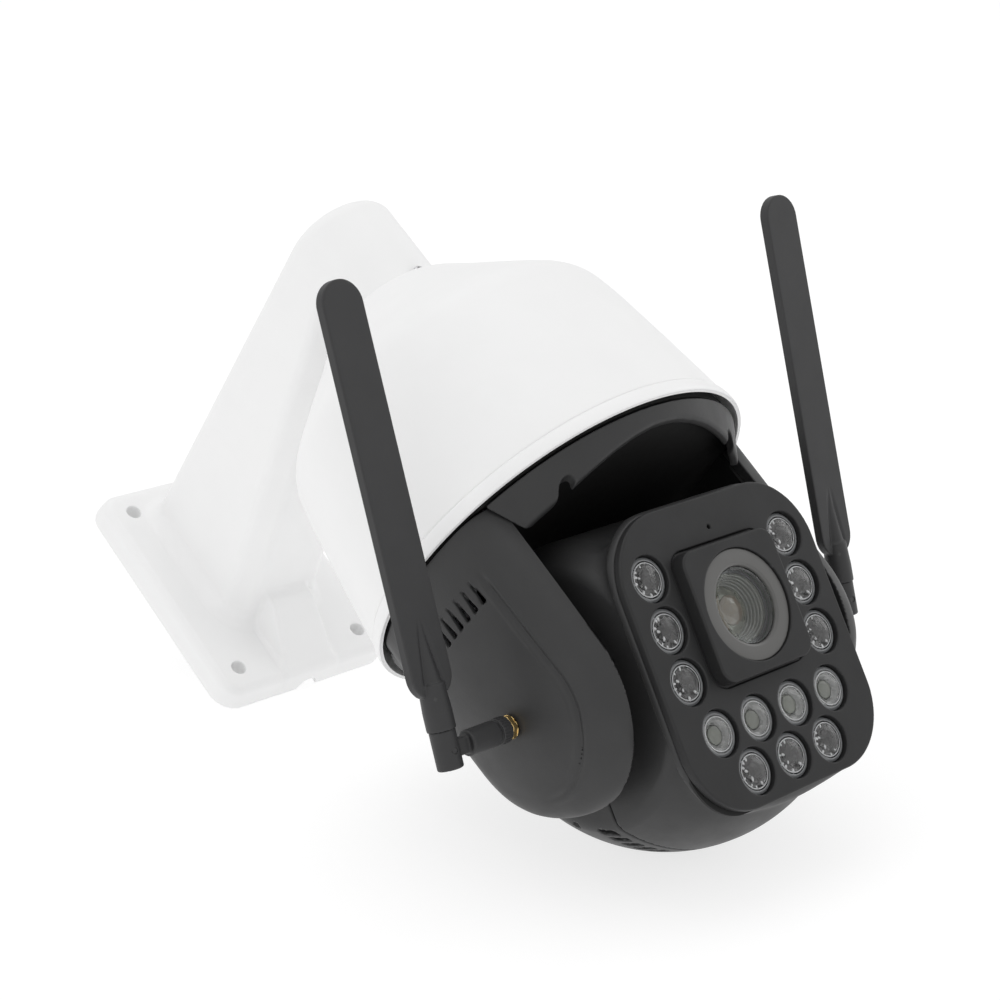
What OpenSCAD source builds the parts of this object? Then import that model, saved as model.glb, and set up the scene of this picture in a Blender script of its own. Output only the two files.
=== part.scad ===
// Outdoor pan, tilt and zoom camera: a wall bracket carries a round canopy, a yoke that pans
// under it, a camera head that tilts between the yoke's cheeks, and two folding antennas.
// Origin: centre of the wall plate's back face. +Z up, +X to the right seen from the front,
// -Y away from the wall. Lengths in millimetres, angles in degrees.

/* [Wall bracket] */
// Width of the wall plate
plate_w = 92; // [88:1:110]
// Height of the wall plate
plate_h = 114; // [110:1:130]
// Thickness of the wall plate
plate_t = 11; // [9:0.5:14]
// Corner radius of the wall plate
plate_r = 10; // [6:1:14]
// Distance between wall holes along X
hole_dx = 66; // [60:1:70]
// Distance between wall holes along Z
hole_dz = 88; // [80:1:92]
// Diameter of a wall hole
hole_d = 6.5; // [5:0.5:7]
// Distance from the wall to the pan axis
reach = 174.3; // [165:0.1:190]
// Height of the arm's flat top above the plate's centre
arm_top = 42; // [38:1:46]
// Radius of the arm's round neck, half the arm's width
neck_r = 24.2; // [23:0.1:26]
// Wall thickness of the hollow arm
arm_wall = 3.2; // [2.5:0.1:4]

/* [Canopy] */
// Height of the canopy's rim
rim_z = -118.9; // [-121:0.1:-118]
// Outer radius of the rim
rim_r = 81.1; // [81:0.1:84]
// Height of the corner between the canopy's top and side
shoulder_z = -43.8; // [-48:0.1:-42]
// Radius at that corner, before it is rounded
shoulder_r = 72.7; // [71:0.1:75]
// Rounding of that corner
shoulder_round = 16; // [10:1:20]
// Wall thickness of the canopy
canopy_wall = 3; // [2.5:0.1:3.5]

/* [Yoke] */
// Height of the tilt axis
tilt_z = -181.6; // [-184:0.1:-181]
// Radius of a cheek's round lower end
cheek_r = 41.5; // [40:0.5:43]
// Radius of the round groove on a cheek
groove_r = 28.5; // [26:0.5:31]
// Distance from the middle to a cheek cover's inner edge
cover_x = 59.2; // [59.1:0.1:60]
// Number of louvres in a cheek cover
louvres = 7; // [5:1:9]

/* [Head] */
// Angle below level at which the head rests
tilt_rest = 23.5; // [0:0.5:60]
// Distance from the tilt axis to the face
face_y = 46.9; // [46:0.1:48]
// Half the width of the face panel
panel_x = 49; // [48:0.5:49.5]
// Highest point of the face panel above the tilt axis
panel_top = 50; // [49:0.5:51]
// Lowest point of the face panel
panel_bottom = -55.7; // [-57:0.1:-55]
// Corner radius of the face panel
panel_r = 20; // [15:1:22]
// Height of the lens axis above the tilt axis
lens_z = 11.3; // [10:0.1:12]
// Radius of the head's ball
ball_r = 66.9; // [64:0.1:68]

/* [Lamps] */
// Diameter of a lamp lens
lamp_d = 16; // [14:0.5:16]
// Distance from the middle to a side column of lamps
column_x = 35.9; // [35:0.1:37]
// Distance between the lamps of a side column
column_pitch = 18.65; // [17.5:0.05:19]
// Distance between the lamps of a lower row
row_pitch = 20; // [18:0.5:20]

/* [Antennas] */
// Distance from the middle to an antenna's elbow
elbow_x = 107.5; // [104:0.5:112]
// Length of an antenna from its elbow to its tip
antenna_l = 161; // [120:1:200]
// Width of an antenna's blade
blade_w = 17.5; // [15:0.5:20]
// Thickness of an antenna's blade
blade_t = 4; // [3:0.5:5]
// Diameter of an antenna's barrels
barrel_d = 9.2; // [8:0.1:10]
// Angle of the left antenna in front of vertical
left_lean = 34; // [0:0.5:60]
// Angle of the right antenna in front of vertical
right_lean = 38; // [0:0.5:60]

/* [Hidden] */
$fn = 96;

white = "whitesmoke";
black = "#2e2e2e";
dark = "#1c1c1c";
steel = "silver";
brass = "goldenrod";
board_green = "#1f5a38";
clear = "#d8e4ea";

// How far a cutting solid reaches past the face that it cuts
over = 1;

// Arm and neck
arm_wall_z = -28;
arm_neck_z = 3.2;
neck_bottom = -8;
socket_r = neck_r + 0.1;
collar_top = 2.5;
screw_z = -2;
hump_w = 22;
hump_d = 16;
notch_r = 6;

// Canopy outline: the top cone, the rounded corner and the side cone
top_slope = atan2(collar_top - shoulder_z, shoulder_r - neck_r);
side_slope = atan2(rim_r - shoulder_r, shoulder_z - rim_z);
corner_from = 90 - top_slope;
corner_half = (corner_from - side_slope) / 2;
corner_mid = (corner_from + side_slope) / 2;
corner_back = shoulder_round / cos(corner_half);
corner_c = [shoulder_r - corner_back * cos(corner_mid), shoulder_z - corner_back * sin(corner_mid)];
collar_floor = 3;
boss_ring = 60;
screw_turns = [60, 180, 300];

// Pan drive, on the chassis plate inside the canopy
chassis_z = -108;
chassis_t = 3;
chassis_r = 73.5;
hub_r = 14.95;
bearing_r = 15;
pan_pulley_r = 30;
pan_motor_r = 7.5;
pan_motor_x = 50;
motor_ear = 17;
belt_gap = 0.3;
belt_t = 1.5;
pan_belt_z = -102;
belt_w = 6;
board_z = -72;

// Yoke
yoke_top = rim_z - 0.7;
yoke_t = 4;
yoke_wall_in = 57;
yoke_wall_out = 59;
cheek_wall = 2.5;
dome_flat_r = 96;
dome_flat_x = 77.6;
dome_lean = 3.2;
cheek_low = tilt_z - cheek_r;
band_r = rim_r - 3.8;
band_slope = 0.6;
yoke_r = 72;
arch_x = 43.6;
arch_mid_z = -126.6;
arch_notch_z = -131.4;
arch_end_z = -133.4;
arch_end_x = 57;
arch_top_x = 70;
bush_r = 9;
shaft_r = 5.95;
bore_r = 6;

// Tilt drive, in the left cheek
tilt_pulley_r = 18;
tilt_motor_r = 6;
tilt_motor_up = 44;
tilt_belt_x = 64;

// Head
shell_wall = 2.5;
waist_x = 48;
trim_r = 56;
rim_y = -face_y + 1.3;
rim_out = 1.1;
rim_back = -41;
flare_back = -28;
flare = 10;
seam_y = -0.5;
boss_z = [-36, 22];
boss_x = 27;
panel_t = 3.5;
seal_t = 1;
bezel_w = 48;
bezel_r = 6;
bezel_h = 5;
ring_r = 20.4;
glass_r = 14;
tube_r = 13.4;
tube_wall = 1.4;
lens_back = 2;
row_top = lens_z + 19.3;
row_four = lens_z - 38.1;
row_three = lens_z - 54.6;
side_lamps = [for (side = [-1, 1], i = [0 : 2]) [side * column_x, row_top - i * column_pitch]];
four_lamps = [for (i = [-1.5 : 1 : 1.5]) [i * row_pitch, row_four]];
three_lamps = [for (i = [-1 : 1]) [i * row_pitch, row_three]];
infrared = concat(side_lamps, three_lamps);
lamps = concat(infrared, four_lamps);

// Antennas
jack_x = 76;
nut_x = 84;
fork_t = 4;
elbow_gap = 8.4;
pin_r = 1.2;
split_s = 7.6;
blade_from = 14;
barrel_r_a = barrel_d / 2;

// ---------- placing ----------

module at_pan() {
    translate([0, -reach, 0])
        children();
}

module at_tilt() {
    translate([0, -reach, tilt_z])
        children();
}

module at_head() {
    at_tilt()
        rotate([tilt_rest, 0, 0])
            children();
}

// A cylinder along X that starts at x0
module x_rod(x0, length, r) {
    translate([x0, 0, 0])
        rotate([0, 90, 0])
            cylinder(h = length, r = r);
}

// A cylinder along Y whose near end is at y0 and which runs away from the wall
module y_rod(y0, length, r) {
    translate([0, y0, 0])
        rotate([90, 0, 0])
            cylinder(h = length, r = r);
}

// A child drawn in the plane of Y and Z, drawn out along X from x0
module x_extrude(x0, length) {
    translate([x0, 0, 0])
        rotate([90, 0, 90])
            linear_extrude(height = length)
                children();
}

module rounded_rect(w, h, r) {
    square([w, h - 2 * r], center = true);
    square([w - 2 * r, h], center = true);
    for (sx = [-1, 1], sz = [-1, 1])
        translate([sx * (w / 2 - r), sz * (h / 2 - r)])
            circle(r = r);
}

// ---------- fixed parts: bracket and canopy ----------

module arm_side(inset, y_wall) {
    low = inset * 1.1;
    x_extrude(-neck_r + inset, 2 * (neck_r - inset))
        polygon([
            [y_wall, arm_wall_z + low], [y_wall, arm_top - inset],
            [-reach, arm_top - inset], [-reach, arm_neck_z + low],
            [-reach + neck_r, arm_neck_z + low]
        ]);
}

module arm_edge_cut(side) {
    drop = arm_neck_z - arm_wall_z;
    translate([side * neck_r, 0, arm_wall_z])
        rotate([-atan2(drop, reach - neck_r), 0, 0])
            rotate([0, 45, 0])
                cube([9, 3 * reach, 9], center = true);
}

module plate_blank() {
    back = 6;
    rotate([90, 0, 0])
        linear_extrude(height = back)
            rounded_rect(plate_w, plate_h, plate_r);
    rotate([90, 0, 0])
        linear_extrude(height = plate_t)
            rounded_rect(plate_w - 5, plate_h - 5, plate_r - 2.5);
}

module cable_hump() {
    x_extrude(-hump_w / 2, hump_w)
        polygon([
            [-2, -plate_h / 2 + 2], [-plate_t, -plate_h / 2 + 3],
            [-plate_t - hump_d, arm_wall_z - 1], [-plate_t - hump_d, arm_wall_z + 3],
            [-2, arm_wall_z + 3]
        ]);
}

module wall_bracket() {
    color(white)
        difference() {
            union() {
                plate_blank();
                cable_hump();
                difference() {
                    arm_side(0, -2);
                    arm_edge_cut(-1);
                    arm_edge_cut(1);
                }
                at_pan()
                    translate([0, 0, neck_bottom])
                        cylinder(h = arm_top - neck_bottom, r = neck_r);
            }
            arm_side(arm_wall, over);
            at_pan()
                translate([0, 0, neck_bottom - over])
                    cylinder(h = arm_top - arm_wall - neck_bottom + over, r = neck_r - arm_wall);
            for (sx = [-1, 1], sz = [-1, 1])
                translate([sx * hole_dx / 2, 0, sz * hole_dz / 2])
                    y_rod(over, plate_t + 2 * over, hole_d / 2);
            translate([0, 0, -plate_h / 2 - over])
                cylinder(h = plate_h / 2 + arm_wall_z + 6, r = notch_r);
            at_pan()
                for (turn = screw_turns)
                    rotate([0, 0, turn - 180])
                        translate([0, 0, screw_z])
                            y_rod(-neck_r + arm_wall + over, arm_wall + 2 * over, 1.5);
        }
}

module neck_screw() {
    y_rod(-neck_r - 1.2, 1.8, 2.8);
    y_rod(-neck_r + arm_wall + 2, arm_wall + 3.2, 1.45);
}

module neck_screws() {
    color(steel)
        at_pan()
            for (turn = screw_turns)
                rotate([0, 0, turn - 180])
                    translate([0, 0, screw_z])
                        difference() {
                            neck_screw();
                            for (turn2 = [0, 90])
                                rotate([0, turn2, 0])
                                    translate([0, -neck_r - 3, 0])
                                        cube([3.4, 1.6, 0.7], center = true);
                        }
}

module neck_grommet() {
    color(dark)
        at_pan()
            difference() {
                union() {
                    translate([0, 0, neck_bottom - collar_floor - 2])
                        cylinder(h = collar_floor + 4, r = 13.9);
                    translate([0, 0, neck_bottom + 0.1])
                        cylinder(h = 2.5, r = 17);
                }
                translate([0, 0, neck_bottom - 10])
                    cylinder(h = 20, r = 4);
            }
}

// Half outline of the canopy's solid, moved in by an inset
function canopy_outline(inset) = concat(
    [[0, rim_z - over * inset / canopy_wall]],
    [[rim_r - inset / cos(side_slope), rim_z - over * inset / canopy_wall]],
    [for (a = [side_slope : corner_half / 4 : corner_from + 0.01])
        corner_c + (shoulder_round - inset) * [cos(a), sin(a)]],
    [[neck_r + 0.2, collar_top - inset / cos(top_slope)]],
    [[0, collar_top - inset / cos(top_slope)]]
);

module canopy() {
    color(white)
        at_pan()
            difference() {
                union() {
                    difference() {
                        rotate_extrude()
                            polygon(canopy_outline(0));
                        rotate_extrude()
                            polygon(canopy_outline(canopy_wall));
                    }
                    translate([0, 0, neck_bottom - collar_floor])
                        cylinder(h = collar_top - neck_bottom + collar_floor - 0.5, r = neck_r + 2.5);
                    for (turn = screw_turns)
                        rotate([0, 0, turn])
                            translate([boss_ring, 0, chassis_z + chassis_t])
                                cylinder(h = shoulder_z - chassis_z - 4, r = 4);
                }
                translate([0, 0, neck_bottom])
                    cylinder(h = collar_top - neck_bottom + over, r = socket_r);
                translate([0, 0, neck_bottom - collar_floor - over])
                    cylinder(h = collar_floor + 2 * over, r = 14);
                for (turn = screw_turns)
                    rotate([0, 0, turn])
                        translate([boss_ring, 0, chassis_z - over])
                            cylinder(h = 14, r = 1.6);
                for (turn = screw_turns)
                    rotate([0, 0, turn - 180])
                        translate([0, 0, screw_z]) {
                            y_rod(-neck_r + over, 6, 1.7);
                            y_rod(-neck_r - 1, 20, 3.4);
                        }
            }
}

module rim_seal() {
    seal_r = rim_r - canopy_wall - 0.6;
    color(dark)
        at_pan()
            translate([0, 0, rim_z + 0.4])
                difference() {
                    cylinder(h = 3.6, r = seal_r);
                    translate([0, 0, -over])
                        cylinder(h = 6, r = seal_r - 2.2);
                }
}

module chassis_plate() {
    color(steel)
        at_pan()
            difference() {
                union() {
                    translate([0, 0, chassis_z])
                        cylinder(h = chassis_t, r = chassis_r);
                    translate([0, 0, chassis_z - 4])
                        cylinder(h = chassis_t + 4, r = 24);
                    for (y = [-motor_ear + 2.5, motor_ear - 2.5])
                        translate([pan_motor_x, y, chassis_z])
                            cylinder(h = pan_belt_z + belt_w + 3 - chassis_z, r = 2.5);
                }
                translate([0, 0, chassis_z - 5])
                    cylinder(h = 12, r = 20);
                for (turn = screw_turns)
                    rotate([0, 0, turn])
                        translate([boss_ring, 0, chassis_z - over])
                            cylinder(h = 6, r = 1.8);
                for (turn = screw_turns)
                    rotate([0, 0, turn + 60])
                        translate([38, 0, chassis_z - over])
                            cylinder(h = 6, r = 1.5);
                translate([pan_motor_x, 0, chassis_z - over])
                    cylinder(h = 6, r = 3.2);
            }
}

module chassis_screws() {
    color(steel)
        at_pan()
            for (turn = screw_turns)
                rotate([0, 0, turn])
                    translate([boss_ring, 0, 0]) {
                        translate([0, 0, chassis_z - 2])
                            cylinder(h = 2, r = 3);
                        translate([0, 0, chassis_z - 0.5])
                            cylinder(h = 12, r = 1.55);
                    }
}

module pan_bearing() {
    color(steel)
        at_pan()
            translate([0, 0, chassis_z - 4])
                difference() {
                    cylinder(h = chassis_t + 4, r = 19.95);
                    translate([0, 0, -over])
                        cylinder(h = 12, r = bearing_r);
                }
}

module board_pillars() {
    color(brass)
        at_pan()
            for (turn = screw_turns)
                rotate([0, 0, turn])
                    translate([38, 0, chassis_z + chassis_t])
                        cylinder(h = board_z - chassis_z - chassis_t, r = 3, $fn = 6);
}

module main_board() {
    color(board_green)
        at_pan()
            translate([0, 0, board_z]) {
                difference() {
                    cylinder(h = 1.6, r = 46);
                    for (turn = screw_turns)
                        rotate([0, 0, turn])
                            translate([38, 0, -over])
                                cylinder(h = 4, r = 1.5);
                }
                translate([-9, -9, 1.5])
                    cube([18, 18, 2]);
                translate([14, -24, 1.5])
                    cube([12, 10, 1.5]);
                translate([-30, 12, 1.5])
                    cube([16, 14, 6]);
                for (i = [0 : 3])
                    translate([-6 + i * 8, 28, 1.5])
                        cylinder(h = 7, r = 2.8);
            }
}

// ---------- drives ----------

// A flat belt in the plane of X and Y round two pulleys: one at the origin, one at x = reach_x
module belt(reach_x, r_a, r_b) {
    difference() {
        belt_shape(reach_x, r_a + belt_gap + belt_t, r_b + belt_gap + belt_t, belt_w - 0.3);
        translate([0, 0, -over])
            belt_shape(reach_x, r_a + belt_gap, r_b + belt_gap, belt_w + 2 * over);
    }
}

module belt_shape(reach_x, r_a, r_b, h) {
    lean = asin((r_a - r_b) / reach_x);
    in_a = r_a - 0.1;
    in_b = r_b - 0.1;
    cylinder(h = h, r = r_a);
    translate([reach_x, 0, 0])
        cylinder(h = h, r = r_b);
    linear_extrude(height = h)
        polygon([
            [in_a * sin(lean), in_a * cos(lean)], [reach_x + in_b * sin(lean), in_b * cos(lean)],
            [reach_x + in_b * sin(lean), -in_b * cos(lean)], [in_a * sin(lean), -in_a * cos(lean)]
        ]);
}

// A flanged pulley with a bore; its belt runs from z = 0 to belt_w
module pulley(r, bore) {
    flange = 1.2;
    difference() {
        union() {
            cylinder(h = belt_w, r = r);
            for (z = [-flange - 0.2, belt_w + 0.2])
                translate([0, 0, z])
                    cylinder(h = flange, r = r + 2.2);
            translate([0, 0, -0.4])
                cylinder(h = belt_w + 0.8, r = r - 0.6);
        }
        translate([0, 0, -over - flange])
            cylinder(h = belt_w + 2 * over + 2 * flange + 0.5, r = bore);
    }
}

module pan_motor() {
    color(steel)
        at_pan()
            translate([pan_motor_x, 0, pan_belt_z + belt_w + 3]) {
                cylinder(h = 18, r = 11);
                translate([-3, -motor_ear, 0])
                    cube([6, 2 * motor_ear, 1.2]);
                translate([0, 0, -belt_w - 5])
                    cylinder(h = belt_w + 5.5, r = 1.5);
            }
}

module pan_motor_pulley() {
    color(dark)
        at_pan()
            translate([pan_motor_x, 0, pan_belt_z])
                pulley(pan_motor_r, 1.55);
}

module pan_pulley() {
    color(dark)
        at_pan()
            difference() {
                translate([0, 0, pan_belt_z])
                    pulley(pan_pulley_r, hub_r);
                pulley_screw_places()
                    cylinder(h = 30, r = 1.3, center = true);
            }
}

module pan_belt() {
    color(dark)
        at_pan()
            translate([0, 0, pan_belt_z + 0.15])
                belt(pan_motor_x, pan_pulley_r, pan_motor_r);
}

// ---------- yoke ----------

module cheek_outline(inset) {
    circle(r = cheek_r - inset);
    translate([-cheek_r + inset, 0])
        square([2 * (cheek_r - inset), yoke_top - tilt_z - inset]);
}

// The solid of one cheek, on the +X side, moved in by an inset
module cheek_solid(inset, x_from) {
    intersection() {
        at_tilt()
            x_extrude(x_from, rim_r)
                cheek_outline(inset);
        at_pan()
            translate([dome_flat_x - dome_flat_r, 0, tilt_z])
                rotate([0, dome_lean, 0])
                    translate([0, 0, -80])
                        cylinder(h = 200, r = dome_flat_r - inset);
        at_pan()
            rotate_extrude()
                polygon([
                    [0, cheek_low], [62, cheek_low], [70 - inset, cheek_low + 8],
                    [76.5 - inset, tilt_z - 24], [79.8 - inset, tilt_z - 8],
                    [80.8 - inset, yoke_top], [0, yoke_top]
                ]);
    }
}

module cover_screw_places() {
    for (p = [[-30, 44], [30, 44], [0, -34]])
        translate([0, p[0], p[1]])
            children();
}

module louvre_cuts() {
    pitch = 4.6;
    for (i = [0 : louvres - 1])
        translate([60, (i - louvres + 2) * pitch - 1.1, -145 - tilt_z])
            cube([30, 1.6, 9]);
}

module cheek_cover() {
    difference() {
        cheek_solid(0, cover_x);
        difference() {
            cheek_solid(cheek_wall, cover_x - over);
            at_tilt()
                cover_screw_places()
                    x_rod(cover_x, 30, 3.4);
        }
        at_pan()
            translate([0, 0, yoke_top - yoke_t - 0.1])
                cylinder(h = yoke_t + over, r = yoke_r + 0.1);
        at_tilt() {
            louvre_cuts();
            cover_screw_places()
                x_rod(cover_x - over, 7.5, 1.3);
            x_rod(cover_x, 40, 3.3);
            rotate([0, 90, 0])
                difference() {
                    cylinder(h = 100, r = groove_r + 0.5);
                    cylinder(h = 100, r = groove_r - 0.5);
                    translate([0, 0, -over])
                        cylinder(h = dome_flat_x - 4.6 + over, r = groove_r + 2);
                    translate([-60, -40, -over])
                        cube([60, 80, 110]);
                }
        }
    }
}

module right_cheek_cover() {
    color(black)
        cheek_cover();
}

module left_cheek_cover() {
    color(black)
        mirror([1, 0, 0])
            cheek_cover();
}

module yoke_wall() {
    inset = 4;
    half = cheek_r - inset;
    difference() {
        at_tilt()
            x_extrude(yoke_wall_in, yoke_wall_out - yoke_wall_in) {
                circle(r = half);
                translate([-half, 0])
                    square([2 * half, yoke_top - tilt_z - 0.3]);
            }
        at_tilt()
            x_rod(yoke_wall_in - over, 10, bush_r);
        at_tilt()
            cover_screw_places()
                x_rod(yoke_wall_in - over, 10, 1.5);
    }
}

module yoke() {
    color(black)
        difference() {
            union() {
                at_pan()
                    translate([0, 0, yoke_top - yoke_t])
                        cylinder(h = yoke_t, r = yoke_r);
                at_pan()
                    translate([0, 0, yoke_top - 1])
                        cylinder(h = pan_belt_z + belt_w + 3 - yoke_top, r = hub_r);
                yoke_wall();
                mirror([1, 0, 0])
                    yoke_wall();
            }
            at_pan()
                translate([0, 0, yoke_top - 10])
                    cylinder(h = 60, r = 11);
            at_pan()
                for (side = [-1, 1], y = [-30, 30])
                    translate([side * 62, y, yoke_top - 10])
                        cylinder(h = 20, r = 1.6);
            at_pan()
                for (side = [-1, 1])
                    translate([side * 64, 0, yoke_top - 10])
                        cylinder(h = 20, r = 4);
        }
}

module pulley_screw_places() {
    for (turn = screw_turns)
        rotate([0, 0, turn])
            translate([22, 0, pan_belt_z + belt_w + 1.4])
                children();
}

module pulley_screws() {
    color(steel)
        at_pan()
            pulley_screw_places()
                difference() {
                    union() {
                        cylinder(h = 2, r = 2.6);
                        translate([0, 0, -7])
                            cylinder(h = 8, r = 1.25);
                    }
                    translate([0, 0, 1])
                        cylinder(h = 2, r = 1, $fn = 6);
                }
}

// A band of the ring under the canopy's rim, whose lower edge is an arch
module fascia(notched) {
    difference() {
        at_pan()
            rotate_extrude()
                polygon([
                    [yoke_r, yoke_top], [band_r, yoke_top],
                    [band_r - 15 * band_slope, yoke_top - 15],
                    [band_r - 15 * band_slope - 3.1, yoke_top - 15], [yoke_r, yoke_top - yoke_t]
                ]);
        translate([0, -reach + 30, 0])
            rotate([90, 0, 0])
                linear_extrude(height = 150)
                    difference() {
                        translate([-100, arch_end_z - 20])
                            square([200, 60]);
                        fascia_front();
                    }
        at_pan()
            translate([-100, -cheek_r - 0.3, -200])
                cube([200, 200, 200]);
        if (notched)
            for (side = [-1, 1])
                translate([side * arch_x, -reach, arch_notch_z + 0.6])
                    y_rod(0, 100, 2.2);
    }
}

module fascia_front() {
    polygon([
        [-arch_top_x, yoke_top + over], [arch_top_x, yoke_top + over], [arch_top_x, arch_end_z],
        [arch_end_x, arch_end_z], [arch_x, arch_notch_z], [28, -129.3], [15, -127.4], [0, arch_mid_z],
        [-15, -127.4], [-28, -129.3], [-arch_x, arch_notch_z],
        [-arch_end_x, arch_end_z], [-arch_top_x, arch_end_z]
    ]);
}

module front_fascia() {
    color(black)
        fascia(true);
}

module rear_fascia() {
    color(black)
        translate([0, -2 * reach, 0])
            mirror([0, 1, 0])
                fascia(false);
}

module cover_screws() {
    color(steel)
        for (side = [-1, 1])
            at_tilt()
                scale([side, 1, 1])
                    cover_screw_places() {
                        x_rod(yoke_wall_in - 1.6, 1.6, 2.6);
                        x_rod(yoke_wall_in - 0.5, 7.5, 1.25);
                    }
}

module tilt_bushes() {
    color(brass)
        for (side = [-1, 1])
            at_tilt()
                scale([side, 1, 1])
                    difference() {
                        union() {
                            x_rod(yoke_wall_in - 1.2, yoke_wall_out - yoke_wall_in + 1.2, bush_r - 0.02);
                            x_rod(yoke_wall_in - 1.2, 1.2, bush_r + 2);
                        }
                        x_rod(yoke_wall_in - 3, 10, bore_r);
                    }
}

module tilt_motor() {
    color(steel)
        at_tilt()
            translate([0, 0, tilt_motor_up]) {
                x_rod(-76.1, 6.2, 9.5);
                translate([-70.1, -13, -4])
                    cube([1.2, 26, 8]);
                x_rod(-70, 10.2, 1.5);
            }
}

module tilt_pulley_place(up) {
    at_tilt()
        translate([-tilt_belt_x - belt_w / 2, 0, up])
            rotate([0, 90, 0])
                children();
}

module tilt_motor_pulley() {
    color(dark)
        tilt_pulley_place(tilt_motor_up)
            pulley(tilt_motor_r, 1.55);
}

module tilt_pulley() {
    color(dark)
        tilt_pulley_place(0)
            pulley(tilt_pulley_r, shaft_r);
}

module tilt_belt() {
    color(dark)
        tilt_pulley_place(0)
            rotate([0, 0, 180])
                translate([0, 0, 0.15])
                    belt(tilt_motor_up, tilt_pulley_r, tilt_motor_r);
}

module radio_board() {
    color(board_green)
        at_tilt() {
            translate([yoke_wall_out + 3, -22, 14])
                cube([1.6, 44, 34]);
            translate([yoke_wall_out + 4.5, -12, 22])
                cube([2.4, 24, 20]);
        }
}

module left_tilt_shaft() {
    color(steel)
        at_tilt()
            tilt_shaft(-1, 67.6);
}

module right_tilt_shaft() {
    color(steel)
        at_tilt()
            tilt_shaft(1, 62);
}

module tilt_shaft(side, end_x) {
    scale([side, 1, 1])
        difference() {
            union() {
                x_rod(waist_x - 4, end_x - waist_x + 4, shaft_r);
                x_rod(waist_x - shell_wall - 2, 2, 10);
            }
            x_rod(waist_x - 10, 60, 3.5);
        }
}

// ---------- head, drawn level: its face looks along -Y ----------

// What the ball may fill, seen from the side: its full radius in front and below, less above
module ball_side(inset) {
    circle(r = trim_r - inset);
    translate([-0.66 * inset, -0.77 * inset])
        polygon([[0, 0], [-64.3, 76.6], [-100, 76.6], [-100, -100], [85.3, -100], [85.3, -52.2]]);
}

module head_ball(inset) {
    half = waist_x - inset;
    intersection() {
        translate([0, -1.5, 0.7])
            sphere(r = ball_r - inset);
        translate([-half, rim_y - inset, -80])
            cube([2 * half, 140, 160]);
        x_extrude(-60, 120)
            ball_side(inset);
    }
}

// The rim that holds the panel, with the flare that joins it to the ball
module head_rim(inset) {
    top = panel_top + rim_out - inset;
    low = panel_bottom - rim_out + inset;
    half = panel_x + rim_out - inset;
    intersection() {
        x_extrude(-60, 120)
            polygon([
                [rim_y - inset, top], [rim_back, top], [flare_back, top - flare],
                [flare_back, low + flare], [rim_back, low], [rim_y - inset, low]
            ]);
        translate([0, 0, -80])
            linear_extrude(height = 160)
                polygon([
                    [-half, rim_y - inset], [half, rim_y - inset], [half, rim_back],
                    [half - flare, flare_back], [-half + flare, flare_back], [-half, rim_back]
                ]);
        face_slab(80, 140)
            panel_outline(inset - rim_out);
    }
}

module head_solid(inset) {
    head_ball(inset);
    head_rim(inset);
}

// Everything behind the seam
module rear_part(gap) {
    translate([-60, seam_y + gap, -90])
        cube([120, 100, 180]);
}

module head_shell() {
    difference() {
        head_solid(0);
        head_solid(shell_wall);
    }
}

module panel_outline(inset) {
    translate([0, (panel_top + panel_bottom) / 2])
        rounded_rect(2 * (panel_x - inset), panel_top - panel_bottom - 2 * inset, panel_r - inset);
}

// A slab in the plane of the face, from y_front back by t
module face_slab(y_front, t) {
    translate([0, -y_front + t, 0])
        rotate([90, 0, 0])
            linear_extrude(height = t)
                children();
}

module head_front_shell() {
    color(black)
        at_head()
            difference() {
                union() {
                    difference() {
                        head_shell();
                        rear_part(0);
                    }
                    face_slab(face_y - panel_t - seal_t, 2)
                        difference() {
                            panel_outline(-0.5);
                            panel_outline(4);
                        }
                    intersection() {
                        head_solid(1);
                        for (side = [-1, 1], z = boss_z)
                            translate([0, 0, z]) {
                                translate([side * boss_x, 0, 0])
                                    y_rod(seam_y, 12, 4);
                                translate([side * (boss_x + 10) - 10, seam_y - 12, -1.5])
                                    cube([20, 12, 3]);
                            }
                    }
                }
                face_slab(face_y + 5, 5 + panel_t + seal_t)
                    panel_outline(-0.3);
                x_rod(-60, 120, shaft_r);
                for (side = [-1, 1], z = boss_z)
                    translate([side * boss_x, 0, z])
                        y_rod(1, 16, 1.6);
            }
}

module vent_cuts() {
    for (side = [-1, 1], i = [0 : 4])
        rotate([0, side * (24 + 5 * i), 0])
            translate([0, 7.5, -ball_r])
                cube([3.2, 7, 9], center = true);
}

module head_rear_shell() {
    color(black)
        at_head()
            difference() {
                union() {
                    intersection() {
                        head_shell();
                        rear_part(0.15);
                    }
                    intersection() {
                        head_solid(1);
                        for (side = [-1, 1], z = boss_z)
                            translate([side * boss_x, 0, z])
                                y_rod(50, 50.3, 4);
                    }
                }
                vent_cuts();
                x_rod(-60, 120, shaft_r);
                for (side = [-1, 1], z = boss_z)
                    translate([side * boss_x, 0, z]) {
                        y_rod(60, 64, 1.7);
                        y_rod(70, 34.8, 3.2);
                    }
            }
}

module head_screws() {
    color(steel)
        at_head()
            for (side = [-1, 1], z = boss_z)
                translate([side * boss_x, 0, z]) {
                    y_rod(37.8, 2.4, 2.9);
                    y_rod(37, 42, 1.55);
                }
}

module panel_seal() {
    color(dark)
        at_head()
            face_slab(face_y - panel_t, seal_t)
                difference() {
                    panel_outline(0.4);
                    panel_outline(3);
                }
}

module face_panel() {
    color(black)
        at_head()
            difference() {
                face_slab(face_y, panel_t)
                    panel_outline(0);
                for (p = lamps)
                    translate([p[0], 0, p[1]])
                        y_rod(0, 60, lamp_d / 2 + 0.5);
                translate([0, 0, lens_z])
                    y_rod(0, 60, ring_r + 0.6);
                translate([0, 0, lens_z + 30])
                    y_rod(0, 60, 0.75);
            }
}

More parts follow.
